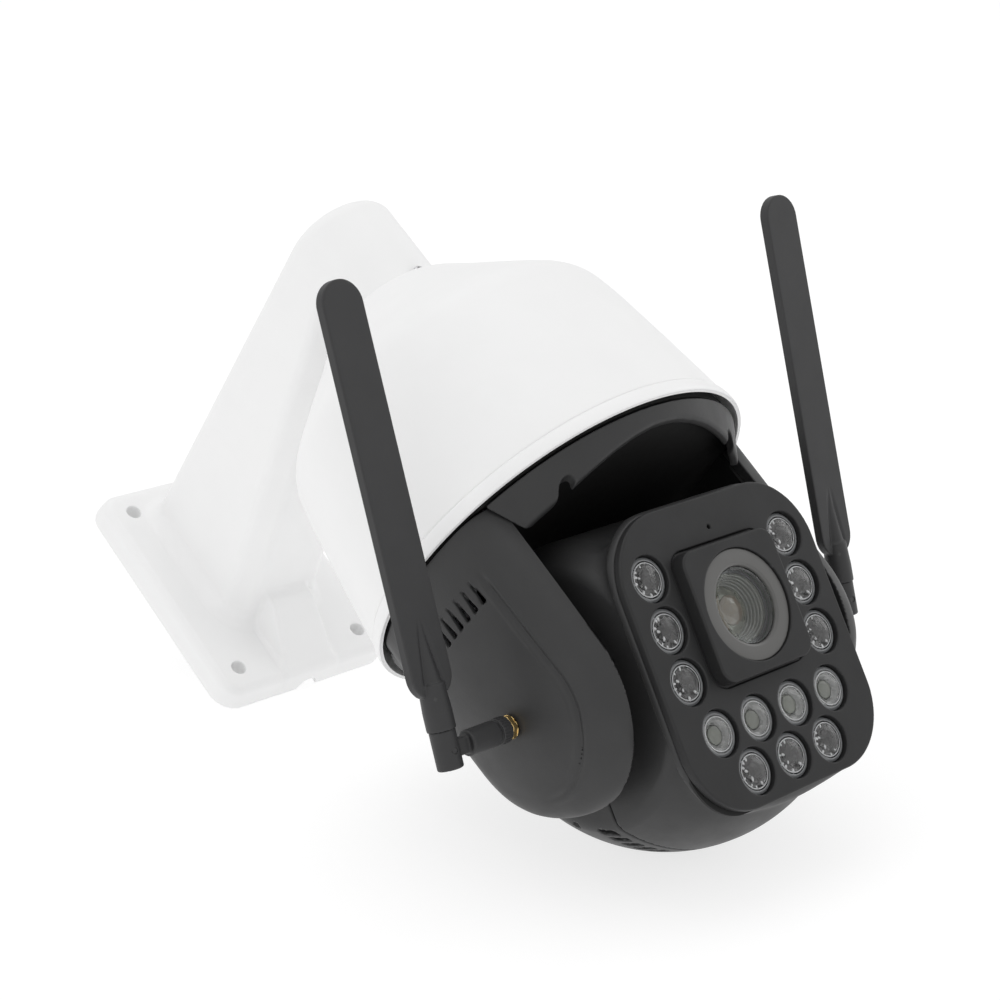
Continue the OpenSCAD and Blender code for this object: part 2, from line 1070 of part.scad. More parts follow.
module lens_bezel() {
    color(black)
        at_head()
            translate([0, 0, lens_z])
                difference() {
                    face_slab(face_y + bezel_h, bezel_h)
                        rounded_rect(bezel_w, bezel_w, bezel_r);
                    y_rod(0, 60, ring_r + 0.1);
                }
}

module window_ring() {
    color("dimgray")
        at_head()
            translate([0, 0, lens_z])
                difference() {
                    y_rod(-face_y + 2, bezel_h + 2.6, ring_r);
                    y_rod(-face_y + 4, 20, glass_r + 0.05);
                    y_rod(-face_y + 4, 4, glass_r + 3);
                }
}

module lens_window() {
    color(clear)
        at_head()
            translate([0, 0, lens_z])
                y_rod(-face_y - 2.6, 1.5, glass_r);
}

module lens_barrel() {
    color(dark)
        at_head()
            translate([0, 0, lens_z])
                difference() {
                    union() {
                        y_rod(-lens_back, face_y - lens_back, tube_r);
                        y_rod(-lens_back, 4, tube_r + 4);
                    }
                    y_rod(-lens_back + over, face_y + 4, tube_r - tube_wall);
                }
}

// A lens with two round faces, r wide and t thick in the middle
module lens(r, t, bulge) {
    ball = (r * r + bulge * bulge) / (2 * bulge);
    intersection() {
        y_rod(t / 2, t, r);
        translate([0, ball - t / 2, 0])
            rotate([90, 0, 0])
                sphere(r = ball);
        translate([0, -ball + t / 2, 0])
            rotate([90, 0, 0])
                sphere(r = ball);
    }
}

module front_lens() {
    color(clear)
        at_head()
            translate([0, -face_y + 4, lens_z])
                lens(tube_r - tube_wall - 0.1, 6, 2.2);
}

module zoom_place() {
    at_head()
        translate([0, -lens_back - 8, lens_z])
            children();
}

module zoom_carriage() {
    color(dark)
        zoom_place()
            difference() {
                y_rod(4, 10, tube_r - tube_wall - 0.4);
                y_rod(4 + over, 14, 8.6);
            }
}

module zoom_lens() {
    color(clear)
        zoom_place()
            translate([0, -1, 0])
                lens(8.5, 5, 1.6);
}

module zoom_motor() {
    color(steel)
        at_head()
            translate([0, -8, lens_z - 24]) {
                y_rod(6, 14, 5);
                y_rod(-6, 12, 1);
            }
}

module sensor_board() {
    color(board_green)
        at_head() {
            translate([-19, -lens_back + 0.2, lens_z - 19])
                cube([38, 1.6, 38]);
            translate([-5, -lens_back - 0.7, lens_z - 5])
                cube([10, 1, 10]);
            translate([-16, -lens_back + 1.7, lens_z - 15])
                cube([14, 2, 12]);
        }
}

module lamp_board() {
    color(board_green)
        at_head()
            difference() {
                face_slab(face_y - panel_t - 7.5, 1.6)
                    panel_outline(7);
                translate([0, 0, lens_z])
                    y_rod(0, 60, tube_r + 4);
            }
}

module lamp_emitters() {
    color("gold")
        at_head()
            for (p = lamps)
                translate([p[0] - 1.75, -face_y + panel_t + 6, p[1] - 1.75])
                    cube([3.5, 1.4, 3.5]);
}

// A stepped collimator: its dome looks out of the panel and its cup stands on the board
module lamp_lens() {
    cup = panel_t + 5.6;
    difference() {
        union() {
            y_rod(-face_y + cup, cup - 3, lamp_d / 2);
            intersection() {
                y_rod(-face_y + 4, 6, lamp_d / 2);
                translate([0, -face_y + 18.5, 0])
                    sphere(r = 18);
            }
        }
        y_rod(-face_y + cup + over, 5.5, 4.2);
    }
}

module infrared_lenses() {
    color(clear)
        at_head()
            for (p = infrared)
                translate([p[0], 0, p[1]])
                    lamp_lens();
}

module white_lamp_lenses() {
    color("white")
        at_head()
            for (p = four_lamps)
                translate([p[0], 0, p[1]])
                    lamp_lens();
}

module microphone() {
    color(steel)
        at_head()
            translate([0, 0, lens_z + 30])
                y_rod(-face_y + panel_t + 4, 3.8, 3);
}

module heat_sink() {
    color("gray")
        at_head()
            translate([0, -lens_back, -32]) {
                translate([-20, -18, -14])
                    cube([39.5, 3, 28]);
                for (i = [0 : 6])
                    translate([-20 + i * 6.25, -15.5, -14])
                        cube([2, 12, 28]);
            }
}

// ---------- antennas ----------

module antenna_jacks() {
    color(brass)
        for (side = [-1, 1])
            at_tilt()
                scale([side, 1, 1]) {
                    x_rod(jack_x - 7, 14.4, 3.2);
                    x_rod(jack_x - 6, 3, 6.2);
                }
}

module jack_nuts() {
    color(brass)
        for (side = [-1, 1])
            at_tilt()
                scale([side, 1, 1])
                    difference() {
                        translate([jack_x + 2.2, 0, 0])
                            rotate([0, 90, 0])
                                cylinder(h = 2, r = 4.8, $fn = 6);
                        x_rod(jack_x, 10, 3.2);
                    }
}

// The children are drawn for the right antenna standing upright: its connector lies along +X
module antenna_place(side, lean) {
    at_tilt()
        scale([side, 1, 1])
            rotate([lean, 0, 0])
                children();
}

module antenna_connector() {
    difference() {
        union() {
            x_rod(jack_x + 4.4, nut_x - jack_x - 4.6, barrel_r_a + 0.3);
            x_rod(nut_x - 0.4, elbow_x - elbow_gap - nut_x + 0.4, barrel_r_a);
            intersection() {
                translate([elbow_x - elbow_gap - 1, -fork_t / 2, -4])
                    cube([elbow_gap + 5, fork_t, 8]);
                union() {
                    translate([elbow_x, 5, 0])
                        y_rod(0, 10, 3.4);
                    translate([elbow_x - elbow_gap - 1, -5, -3.4])
                        cube([elbow_gap + 1, 10, 6.8]);
                }
            }
        }
        x_rod(jack_x + 3, 6.4, 3.25);
        translate([elbow_x, 5, 0])
            y_rod(5, 20, pin_r + 0.05);
    }
}

module elbow_pin() {
    translate([elbow_x, 0, 0])
        y_rod(barrel_r_a - 0.5, barrel_d - 1, pin_r);
}

module antenna_barrel() {
    low = 6.3;
    difference() {
        translate([elbow_x, 0, -low])
            cylinder(h = low + split_s, r = barrel_r_a);
        translate([elbow_x - 10, -fork_t / 2 - 0.3, -low - over])
            cube([20, fork_t + 0.6, low + over + 4.4]);
        translate([elbow_x, 5, 0])
            y_rod(5, 20, pin_r);
    }
}

module antenna_blade() {
    round_top = blade_w / 2;
    translate([elbow_x, 0, 0]) {
        translate([0, 0, split_s + 0.2])
            cylinder(h = blade_from, r = barrel_r_a);
        translate([0, 0, split_s + blade_from])
            cylinder(h = 28, r1 = barrel_r_a, r2 = 1);
        translate([0, blade_t / 2, 0])
            rotate([90, 0, 0])
                linear_extrude(height = blade_t) {
                    translate([0, antenna_l - round_top])
                        circle(r = round_top);
                    translate([0, blade_from + round_top])
                        circle(r = round_top);
                    translate([-blade_w / 2, blade_from + round_top])
                        square([blade_w, antenna_l - blade_from - blade_w]);
                }
    }
}

module left_antenna_connector() {
    color(dark)
        antenna_place(-1, left_lean)
            antenna_connector();
}

module left_elbow_pin() {
    color(steel)
        antenna_place(-1, left_lean)
            elbow_pin();
}

module left_antenna_barrel() {
    color(dark)
        antenna_place(-1, left_lean)
            antenna_barrel();
}

module left_antenna_blade() {
    color(dark)
        antenna_place(-1, left_lean)
            antenna_blade();
}

module right_antenna_connector() {
    color(dark)
        antenna_place(1, right_lean)
            antenna_connector();
}

module right_elbow_pin() {
    color(steel)
        antenna_place(1, right_lean)
            elbow_pin();
}

module right_antenna_barrel() {
    color(dark)
        antenna_place(1, right_lean)
            antenna_barrel();
}

module right_antenna_blade() {
    color(dark)
        antenna_place(1, right_lean)
            antenna_blade();
}

wall_bracket();
neck_screws();
neck_grommet();
canopy();
rim_seal();
chassis_plate();
chassis_screws();
pan_bearing();
board_pillars();
main_board();
pan_motor();
pan_motor_pulley();
pan_pulley();
pan_belt();
yoke();
pulley_screws();
front_fascia();
rear_fascia();
left_cheek_cover();
right_cheek_cover();
cover_screws();
tilt_bushes();
tilt_motor();
tilt_motor_pulley();
tilt_belt();
tilt_pulley();
radio_board();
left_tilt_shaft();
right_tilt_shaft();
head_front_shell();
head_rear_shell();
head_screws();
panel_seal();
face_panel();
lens_bezel();
window_ring();
lens_window();
lens_barrel();
front_lens();
zoom_carriage();
zoom_lens();
zoom_motor();
sensor_board();
lamp_board();
lamp_emitters();
infrared_lenses();
white_lamp_lenses();
microphone();
heat_sink();
antenna_jacks();
jack_nuts();
left_antenna_connector();
left_elbow_pin();
left_antenna_barrel();
left_antenna_blade();
right_antenna_connector();
right_elbow_pin();
right_antenna_barrel();
right_antenna_blade();
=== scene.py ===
import math

import bmesh
import bpy
import numpy as np
from mathutils import Matrix, Vector


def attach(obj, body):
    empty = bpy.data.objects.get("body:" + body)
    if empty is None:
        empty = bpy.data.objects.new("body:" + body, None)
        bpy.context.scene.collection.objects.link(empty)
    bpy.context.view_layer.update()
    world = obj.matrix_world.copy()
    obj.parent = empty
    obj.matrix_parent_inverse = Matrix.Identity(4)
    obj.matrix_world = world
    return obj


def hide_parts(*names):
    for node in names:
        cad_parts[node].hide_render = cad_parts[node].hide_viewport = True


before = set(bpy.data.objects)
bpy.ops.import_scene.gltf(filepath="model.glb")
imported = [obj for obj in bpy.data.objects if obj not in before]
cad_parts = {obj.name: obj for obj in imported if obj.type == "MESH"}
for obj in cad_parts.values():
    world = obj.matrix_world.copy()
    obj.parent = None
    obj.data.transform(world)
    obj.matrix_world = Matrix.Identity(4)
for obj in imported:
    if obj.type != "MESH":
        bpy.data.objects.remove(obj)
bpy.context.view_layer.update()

# ---------------------------------------------------------------- measures, in millimetres
REACH = 174.3               # the pan axis, out from the wall
TILT_Z = -181.6             # height of the tilt axis
REST = math.radians(23.5)   # how far the head looks down at rest
NECK_R = 24.2               # the neck's radius, and half the arm's width
RIM_Z = -118.9              # the canopy's lower rim
FACE_Y = 46.9               # the face panel's front, ahead of the tilt axis
LENS_Z = 11.3               # the lens, above the tilt axis
ELBOW_X = 107.5             # an antenna's elbow pin, out from the pan axis
LEAN = {"left": 34, "right": 38}   # each antenna's lean, in degrees
SHELL = 2.5                 # wall of the head's shells
NECK_SCREWS = (0, 120, 240)
SIDE_X, SIDE_TOP, SIDE_GAP = 35.9, 19.3, 18.65
SIDE_LAMPS = [(s * SIDE_X, LENS_Z + SIDE_TOP - i * SIDE_GAP) for s in (-1, 1) for i in range(3)]
FOUR_LAMPS = [(x, LENS_Z - 38.1) for x in (-30, -10, 10, 30)]
THREE_LAMPS = [(x, LENS_Z - 54.6) for x in (-20, 0, 20)]
INFRARED = SIDE_LAMPS + THREE_LAMPS
LAMPS = INFRARED + FOUR_LAMPS

AT_PAN = Matrix.Translation((0, -REACH, 0))
AT_TILT = Matrix.Translation((0, -REACH, TILT_Z))
AT_HEAD = AT_TILT @ Matrix.Rotation(REST, 4, "X")
MIRROR = Matrix.Diagonal((-1, 1, 1, 1))
AT_ANTENNA = {
    "left": AT_TILT @ MIRROR @ Matrix.Rotation(math.radians(LEAN["left"]), 4, "X"),
    "right": AT_TILT @ Matrix.Rotation(math.radians(LEAN["right"]), 4, "X"),
}
OUT_OF_FACE = Matrix.Rotation(math.radians(90), 4, "X")   # a lathe's +Z becomes the head's -Y


# ---------------------------------------------------------------- distance fields
def rmin(a, b, r):
    """Union with a round fillet."""
    return np.maximum(r, np.minimum(a, b)) - np.hypot(np.maximum(r - a, 0), np.maximum(r - b, 0))


def rmax(a, b, r):
    """Intersection with a round edge."""
    return np.minimum(-r, np.maximum(a, b)) + np.hypot(np.maximum(r + a, 0), np.maximum(r + b, 0))


def cut(a, b, r):
    """a with b taken out of it, its edge rounded."""
    return rmax(a, -b, r)


def rect(u, v, hu, hv, r):
    """A rectangle of half sizes hu and hv with corners of radius r."""
    qu, qv = np.abs(u) - hu + r, np.abs(v) - hv + r
    return np.hypot(np.maximum(qu, 0), np.maximum(qv, 0)) + np.minimum(np.maximum(qu, qv), 0) - r


def segment(u, v, a, b):
    """Distance from the line between points a and b."""
    du, dv = b[0] - a[0], b[1] - a[1]
    t = np.clip(((u - a[0]) * du + (v - a[1]) * dv) / (du * du + dv * dv), 0, 1)
    return np.hypot(u - a[0] - t * du, v - a[1] - t * dv)


def step(e0, e1, v):
    """A smooth change from 0 at e0 to 1 at e1."""
    t = np.clip((v - e0) / (e1 - e0), 0, 1)
    return t * t * (3 - 2 * t)


def gradient(f, p, e):
    """Slope of f at points p, from differences e to each side."""
    g = np.empty_like(p)
    for k in range(3):
        d = np.zeros(3)
        d[k] = e
        g[:, k] = f(*(p + d).T) - f(*(p - d).T)
    return g / (2 * e)


BLOCK = 16
CORNERS = np.array([(i, j, k) for i in (0, 1) for j in (0, 1) for k in (0, 1)])
EDGES = [(a, b) for a in range(8) for b in range(a + 1, 8) if abs(CORNERS[a] - CORNERS[b]).sum() == 1]


def ticks(lo, hi, h, fine):
    """Grid positions h apart from lo to hi, closer together inside each fine (from, to, step)."""
    out = [lo - 1.37 * h]
    while out[-1] < hi + 1.4 * h or (len(out) - 1) % BLOCK:
        gap = h
        for a, b, small in fine:
            if a - small <= out[-1] <= b:
                gap = small
        out.append(out[-1] + gap)
    return np.array(out + [out[-1] + h])


def surface(f, lo, hi, h, fine=((), (), ())):
    """Points, normals and four-sided faces of the surface f = 0 inside a box, on a grid of h."""
    grid = [ticks(lo[k], hi[k], h, fine[k]) for k in range(3)]
    counts = [np.arange((len(g) - 2) // BLOCK) for g in grid]
    blocks = np.stack(np.meshgrid(*counts, indexing="ij"), -1).reshape(-1, 3)
    place = lambda c: np.stack([grid[k][c[..., k]] for k in range(3)], -1)
    ends = place(blocks * BLOCK), place((blocks + 1) * BLOCK)
    reach = np.linalg.norm(ends[1] - ends[0], axis=1) / 2
    blocks = blocks[np.abs(f(*((ends[0] + ends[1]) / 2).T)) < reach * 2.5 + 2]
    node = np.stack(np.meshgrid(*[np.arange(BLOCK + 1)] * 3, indexing="ij"), -1)
    size = (blocks.max(0) + 1) * BLOCK + 2
    flat = lambda c: (c[..., 0] * size[1] + c[..., 1]) * size[2] + c[..., 2]
    keys, points, crossings = [], [], [[], [], []]
    for first in range(0, len(blocks), 24):
        part = blocks[first:first + 24]
        at = part[:, None, None, None] * BLOCK + node
        s = f(*np.moveaxis(place(at), -1, 0))
        s = np.where(np.abs(s) < 1e-7, 1e-7, s)
        n = BLOCK
        corner = np.stack([s[:, i:i + n, j:j + n, k:k + n] for i, j, k in CORNERS], -1)
        low = (corner < 0).sum(-1)
        hit = np.nonzero((low > 0) & (low < 8))
        v = corner[hit]
        total, count = np.zeros((len(v), 3)), np.zeros(len(v))
        for a, b in EDGES:
            on = (v[:, a] < 0) != (v[:, b] < 0)
            t = v[on, a] / (v[on, a] - v[on, b])
            total[on] += CORNERS[a] + t[:, None] * (CORNERS[b] - CORNERS[a])
            count[on] += 1
        cell = part[hit[0]] * BLOCK + np.stack(hit[1:], -1)
        keys.append(flat(cell))
        near = place(cell)
        points.append(near + total / count[:, None] * (place(cell + 1) - near))
        for axis in range(3):
            here = s[:, :n, :n, :n] < 0
            there = (s[:, 1:, :n, :n], s[:, :n, 1:, :n], s[:, :n, :n, 1:])[axis] < 0
            e = np.nonzero(here != there)
            crossings[axis].append(np.c_[part[e[0]] * BLOCK + np.stack(e[1:], -1), here[e]])
    keys, points = np.concatenate(keys), np.concatenate(points)
    order = np.argsort(keys)
    keys, points = keys[order], points[order]
    faces = []
    for axis in range(3):
        e = np.concatenate(crossings[axis])
        u, w = np.zeros(3, int), np.zeros(3, int)
        u[(axis + 1) % 3] = w[(axis + 2) % 3] = 1
        quad = np.stack([flat(e[:, :3] - a) for a in (0 * u, u, u + w, w)], -1)
        at = np.clip(np.searchsorted(keys, quad), 0, len(keys) - 1)
        whole = (keys[at] == quad).all(1)
        at[e[:, 3] == 0] = at[e[:, 3] == 0][:, ::-1]
        faces.append(at[whole])
    faces = np.concatenate(faces)
    h = min([h] + [z[2] for k in fine for z in k])
    for _ in range(3):
        g = gradient(f, points, h * 0.05)
        steep = np.maximum((g * g).sum(1), 0.2)
        points -= np.clip(f(*points.T) / steep, -0.5 * h, 0.5 * h)[:, None] * g
    normals = gradient(f, points, h * 0.2)
    normals /= np.maximum(np.linalg.norm(normals, axis=1), 1e-9)[:, None]
    return points, normals, faces


def make(name, points, faces, material, body, place=None, normals=None, slot=None):
    """A mesh piece from millimetre points; place is a millimetre matrix into the part's frame."""
    m = np.array(place or Matrix.Identity(4))
    points = np.asarray(points, float) @ m[:3, :3].T + m[:3, 3]
    faces = [tuple(f) for f in faces]
    if np.linalg.det(m[:3, :3]) < 0:
        faces = [f[::-1] for f in faces]
    mesh = bpy.data.meshes.new(name)
    mesh.from_pydata((points / 1000).tolist(), [], faces)
    mesh.polygons.foreach_set("use_smooth", [True] * len(mesh.polygons))
    mesh.materials.append(material)
    if normals is not None:
        mesh.normals_split_custom_set_from_vertices((normals @ m[:3, :3].T).tolist())
    mesh.update()
    o = bpy.data.objects.new(name, mesh)
    bpy.context.scene.collection.objects.link(o)
    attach(o, body)
    return o


def carve(name, f, lo, hi, h, material, body, place=None, slot=None, fine=((), (), ())):
    """A mesh piece whose surface is f = 0."""
    points, normals, faces = surface(f, lo, hi, h, fine)
    return make(name, points, faces, material, body, place, normals, slot)


def turned(profile, segments=96, closed=True, wave=None):
    """Points and faces of a profile of (radius, height) turned round Z; wave changes the radius."""
    n = len(profile)
    points = []
    for i in range(segments):
        a = 2 * math.pi * i / segments
        for r, z in profile:
            q = r + (wave(a, r, z) if wave else 0)
            points.append((q * math.cos(a), q * math.sin(a), z))
    faces = []
    for i in range(segments):
        j = (i + 1) % segments
        for k in range(n if closed else n - 1):
            l = (k + 1) % n
            faces.append((i * n + k, j * n + k, j * n + l, i * n + l))
    return points, faces


def rounded(profile, r=0.3, steps=3, closed=True):
    """A profile with its corners rounded by up to radius r."""
    n, out = len(profile), []
    for i, p in enumerate(profile):
        if not closed and i in (0, n - 1):
            out.append(p)
            continue
        a, b, c = (Vector(profile[k % n]) for k in (i - 1, i, i + 1))
        u, w = (a - b), (c - b)
        if u.length < 1e-6 or w.length < 1e-6:
            out.append(p)
            continue
        size = min(r, u.length * 0.45, w.length * 0.45)
        if size < 1e-3:
            out.append(p)
            continue
        u, w = b + u.normalized() * size, b + w.normalized() * size
        for t in range(steps + 1):
            t /= steps
            q = u * (1 - t) ** 2 + b * 2 * t * (1 - t) + w * t * t
            out.append((q.x, q.y))
    return out


def copies(points, faces, places):
    """Points and faces of one shape repeated at each matrix of places."""
    points, moved, joined = np.asarray(points, float), [], []
    for i, place in enumerate(places):
        m = np.array(place)
        moved.append(points @ m[:3, :3].T + m[:3, 3])
        joined += [tuple(v + i * len(points) for v in f) for f in faces]
    return np.concatenate(moved), joined


def lathe(name, profile, material, body, place, r=0.3, segments=96, closed=True, slot=None, sharp=40):
    """A turned piece, its edges sharp where they bend by more than sharp degrees."""
    points, faces = turned(rounded(profile, r, closed=closed), segments, closed)
    o = make(name, points, faces, material, body, place, slot=slot)
    outward(o)
    o.data.set_sharp_from_angle(angle=math.radians(sharp))
    return o


def outward(o):
    """Joins points that coincide and turns the faces outward."""
    b = bmesh.new()
    b.from_mesh(o.data)
    bmesh.ops.remove_doubles(b, verts=b.verts, dist=1e-7)
    bmesh.ops.recalc_face_normals(b, faces=b.faces)
    b.to_mesh(o.data)
    b.free()


# ---------------------------------------------------------------- materials
class Paint:
    """A Principled material whose colour, roughness and bump come from procedural nodes."""

    def __init__(self, name, colour, rough, metal=0.0, **sockets):
        self.m = bpy.data.materials.new(name)
        self.m.use_nodes = True
        self.n, self.l = self.m.node_tree.nodes, self.m.node_tree.links
        self.b = self.n["Principled BSDF"]
        self.b.inputs["Metallic"].default_value = metal
        for k, v in sockets.items():
            self.b.inputs[k.replace("_", " ")].default_value = v
        self.where = self.n.new("ShaderNodeTexCoord").outputs["Object"]
        self.colour, self.rough, self.normal = colour, rough, None

    def noise(self, scale, detail=3.0, rough=0.55, stretch=None):
        t = self.n.new("ShaderNodeTexNoise")
        t.inputs["Scale"].default_value = scale
        t.inputs["Detail"].default_value = detail
        t.inputs["Roughness"].default_value = rough
        source = self.where
        if stretch:
            m = self.n.new("ShaderNodeMapping")
            m.inputs["Scale"].default_value = stretch
            self.l.new(source, m.inputs["Vector"])
            source = m.outputs["Vector"]
        self.l.new(source, t.inputs["Vector"])
        return t.outputs["Fac"]

    def range(self, value, lo, hi, a=0.3, b=0.7):
        r = self.n.new("ShaderNodeMapRange")
        for k, v in zip(("From Min", "From Max", "To Min", "To Max"), (a, b, lo, hi)):
            r.inputs[k].default_value = v
        self.l.new(value, r.inputs["Value"])
        return r.outputs["Result"]

    def mix(self, factor, a, b):
        m = self.n.new("ShaderNodeMix")
        m.data_type = "RGBA"
        self.l.new(factor, m.inputs["Factor"])
        for k, v in (("A", a), ("B", b)):
            s = [i for i in m.inputs if i.name == k and i.type == "RGBA"][0]
            if isinstance(v, (tuple, list)):
                s.default_value = (*v[:3], 1)
            else:
                self.l.new(v, s)
        return [o for o in m.outputs if o.type == "RGBA"][0]

    def tone(self, scale, spread, stretch=None, detail=3.0):
        """Mottles the colour by a share of itself."""
        a, b = ([min(c * (1 + s * spread), 1) for c in self.colour] for s in (-1, 1))
        self.shade = self.mix(self.range(self.noise(scale, detail, stretch=stretch), 0, 1), a, b)
        return self

    def gloss(self, scale, spread, stretch=None):
        r = self.range(self.noise(scale, 4, stretch=stretch), self.rough - spread, self.rough + spread)
        self.l.new(r, self.b.inputs["Roughness"])
        return self

    def bump(self, scale, depth, strength=1.0, stretch=None, detail=2.0):
        t = self.n.new("ShaderNodeBump")
        t.inputs["Strength"].default_value = strength
        t.inputs["Distance"].default_value = depth
        self.l.new(self.noise(scale, detail, stretch=stretch), t.inputs["Height"])
        if self.normal:
            self.l.new(self.normal, t.inputs["Normal"])
        self.normal = t.outputs["Normal"]
        return self

    def wear(self, colour, lo=0.52, hi=0.62, amount=0.5):
        """Lightens worn convex edges, broken up by noise."""
        p = self.n.new("ShaderNodeNewGeometry").outputs["Pointiness"]
        edge = self.range(p, 0, amount, lo, hi)
        k = self.n.new("ShaderNodeMath")
        k.operation = "MULTIPLY"
        self.l.new(edge, k.inputs[0])
        self.l.new(self.range(self.noise(180, 4), 0.2, 1, 0.35, 0.65), k.inputs[1])
        self.shade = self.mix(k.outputs["Value"], self.shade, colour)
        return self

    def done(self):
        self.l.new(self.shade, self.b.inputs["Base Color"])
        if self.normal:
            self.l.new(self.normal, self.b.inputs["Normal"])
        return self.m


def plastic(name, colour, rough, grain, depth, wear=None, spread=0.05, **sockets):
    p = Paint(name, colour, rough, **sockets).tone(60, spread, detail=5).gloss(90, 0.05)
    p.bump(grain, depth).bump(grain * 0.28, depth * 1.2, 0.5)
    if wear:
        p.wear(wear)
    return p.done()


def metal(name, colour, rough, grain=900, depth=6e-6, stretch=(1, 1, 1)):
    p = Paint(name, colour, rough, 1.0).tone(120, 0.10, stretch=stretch)
    return p.gloss(260, 0.08, stretch).bump(grain, depth, 0.6, stretch).done()


def clear(name, colour, rough, ior):
    p = Paint(name, colour, rough, Transmission_Weight=1.0, IOR=ior).tone(60, 0.03)
    return p.gloss(200, max(rough * 0.5, 0.01)).bump(160, 4e-6, 0.15).done()


def coated(name, colour, rough):
    """A lens with an anti-glare coat."""
    p = Paint(name, colour, rough, Specular_IOR_Level=0.6, Coat_Weight=1.0, Coat_Roughness=0.05,
              Coat_Tint=(0.9, 0.93, 0.8, 1))
    return p.tone(90, 0.18).gloss(150, 0.04).bump(120, 6e-6, 0.2).done()


WHITE = plastic("white_abs", (0.875, 0.875, 0.875), 0.42, 2600, 1.3e-5, (0.905, 0.905, 0.905), 0.007,
                Specular_IOR_Level=0.42)
BLACK = plastic("black_abs", (0.028, 0.028, 0.0285), 0.48, 2300, 3.2e-5, (0.07, 0.07, 0.072),
                Specular_IOR_Level=0.42)
# darker, duller black for the yoke: painted shade for the deep recess between the head and the cheeks
PAINTED_SHADE_BLACK = plastic("black_darkened_as_painted_shade", (0.009, 0.009, 0.009), 0.6, 2000, 2e-5, Specular_IOR_Level=0.2)
PANEL = plastic("panel_black", (0.0185, 0.0185, 0.019), 0.52, 2600, 2.2e-5, (0.08, 0.08, 0.082),
                Specular_IOR_Level=0.3)
ANTENNA = plastic("antenna_black", (0.029, 0.029, 0.030), 0.50, 2900, 2.4e-5, (0.07, 0.07, 0.07),
                  Specular_IOR_Level=0.4)
SEAL = plastic("black_rubber", (0.018, 0.018, 0.018), 0.72, 1500, 3e-5, Specular_IOR_Level=0.3)
DRIVE = plastic("drive_plastic", (0.025, 0.025, 0.027), 0.38, 1800, 1e-5)
RING_GREY = plastic("ring_grey", (0.088, 0.087, 0.084), 0.42, 1800, 6e-6,
                    Coat_Weight=0.2, Coat_Roughness=0.2)
STEPS = plastic("baffle_grey", (0.135, 0.132, 0.118), 0.30, 1800, 6e-6,
                Coat_Weight=0.3, Coat_Roughness=0.15)
FLANGE = plastic("lamp_flange", (0.16, 0.165, 0.17), 0.25, 1800, 6e-6,
                 Coat_Weight=0.4, Coat_Roughness=0.1)
BOWL = metal("lamp_bowl", (0.10, 0.10, 0.10), 0.30, 500, 2e-5)
BRIGHT = plastic("bright_bowl", (0.22, 0.225, 0.22), 0.25, 1200, 1e-5, Coat_Weight=0.8, Coat_Roughness=0.1)
# near white for painted highlights: glints and a bright ring in the lamps, where there is only reflected
# light
PAINTED_HIGHLIGHT_WHITE = plastic("painted_highlight_white", (0.80, 0.81, 0.82), 0.2, 1200, 4e-6)
PALE = plastic("pale_die", (0.19, 0.20, 0.175), 0.35, 1200, 2e-5, Coat_Weight=0.3)
# brown colour of the inner lens element: a painted reflection of the lens's pupil, under a clear coat
BROWN_PAINTED_REFLECTION = plastic("centre_painted_reflection", (0.17, 0.125, 0.085), 0.16, 900, 4e-6, Coat_Weight=1.0, Coat_Roughness=0.04)
STEEL = metal("steel", (0.60, 0.60, 0.61), 0.30)
MOTOR = metal("motor_can", (0.48, 0.48, 0.50), 0.36, stretch=(1, 1, 4))
BRASS = metal("gold_brass", (0.83, 0.60, 0.26), 0.24)
TUBE = metal("black_metal", (0.035, 0.035, 0.037), 0.42)
FINS = metal("heat_sink_metal", (0.42, 0.43, 0.45), 0.40, stretch=(1, 1, 6))
GLASS = clear("window_glass", (0.93, 0.96, 0.95), 0.02, 1.35)
ACRYLIC = clear("clear_acrylic", (0.97, 0.97, 0.97), 0.03, 1.25)
COATED = coated("coated_lens", (0.125, 0.118, 0.10), 0.16)
BOARD = plastic("circuit_board", (0.02, 0.11, 0.05), 0.35, 700, 2e-5, Coat_Weight=0.5)
EMITTER = plastic("emitter", (0.75, 0.62, 0.20), 0.40, 1200, 2e-5)

# ---------------------------------------------------------------- wall bracket
ARM_TOP = 42
UNDER_AT_WALL, UNDER_AT_NECK = -28, 3.2   # height of the arm's underside
SLOPE = (UNDER_AT_NECK - UNDER_AT_WALL) / (REACH - NECK_R)
SLOPE_COS = 1 / math.hypot(1, SLOPE)
ARM_WALL = 3.2
DUCT_R, DUCT_TOP = 21, 38.8
DIAGONAL = 0.7071
PLATE_X, PLATE_Z, PLATE_DEEP = 46, 57, 11
HOLE_X, HOLE_Z, HOLE_R = 33, 44, 3.25
CORD_NOTCH_R = 4.6


def arm_plan(x, y):
    """The arm and the neck's round end, seen from above."""
    return np.where(y > -REACH, np.abs(x) - NECK_R, np.hypot(x, y + REACH) - NECK_R)


def arm_under(y, z):
    return (UNDER_AT_WALL - SLOPE * y - z) * SLOPE_COS


def hump(x, y, z):
    """The cable hump under the arm, against the plate."""
    ramp = (y + 11) * -0.842 + (z + 54) * -0.539
    sides = np.abs(x) - 13.6 + 0.16 * (-y - 11)
    d = rmax(rmax(rmax(ramp, sides, 1.6), -y - 27, 1.6), z + 16, 1)
    return rmax(d, -55.5 - z, 1.5)


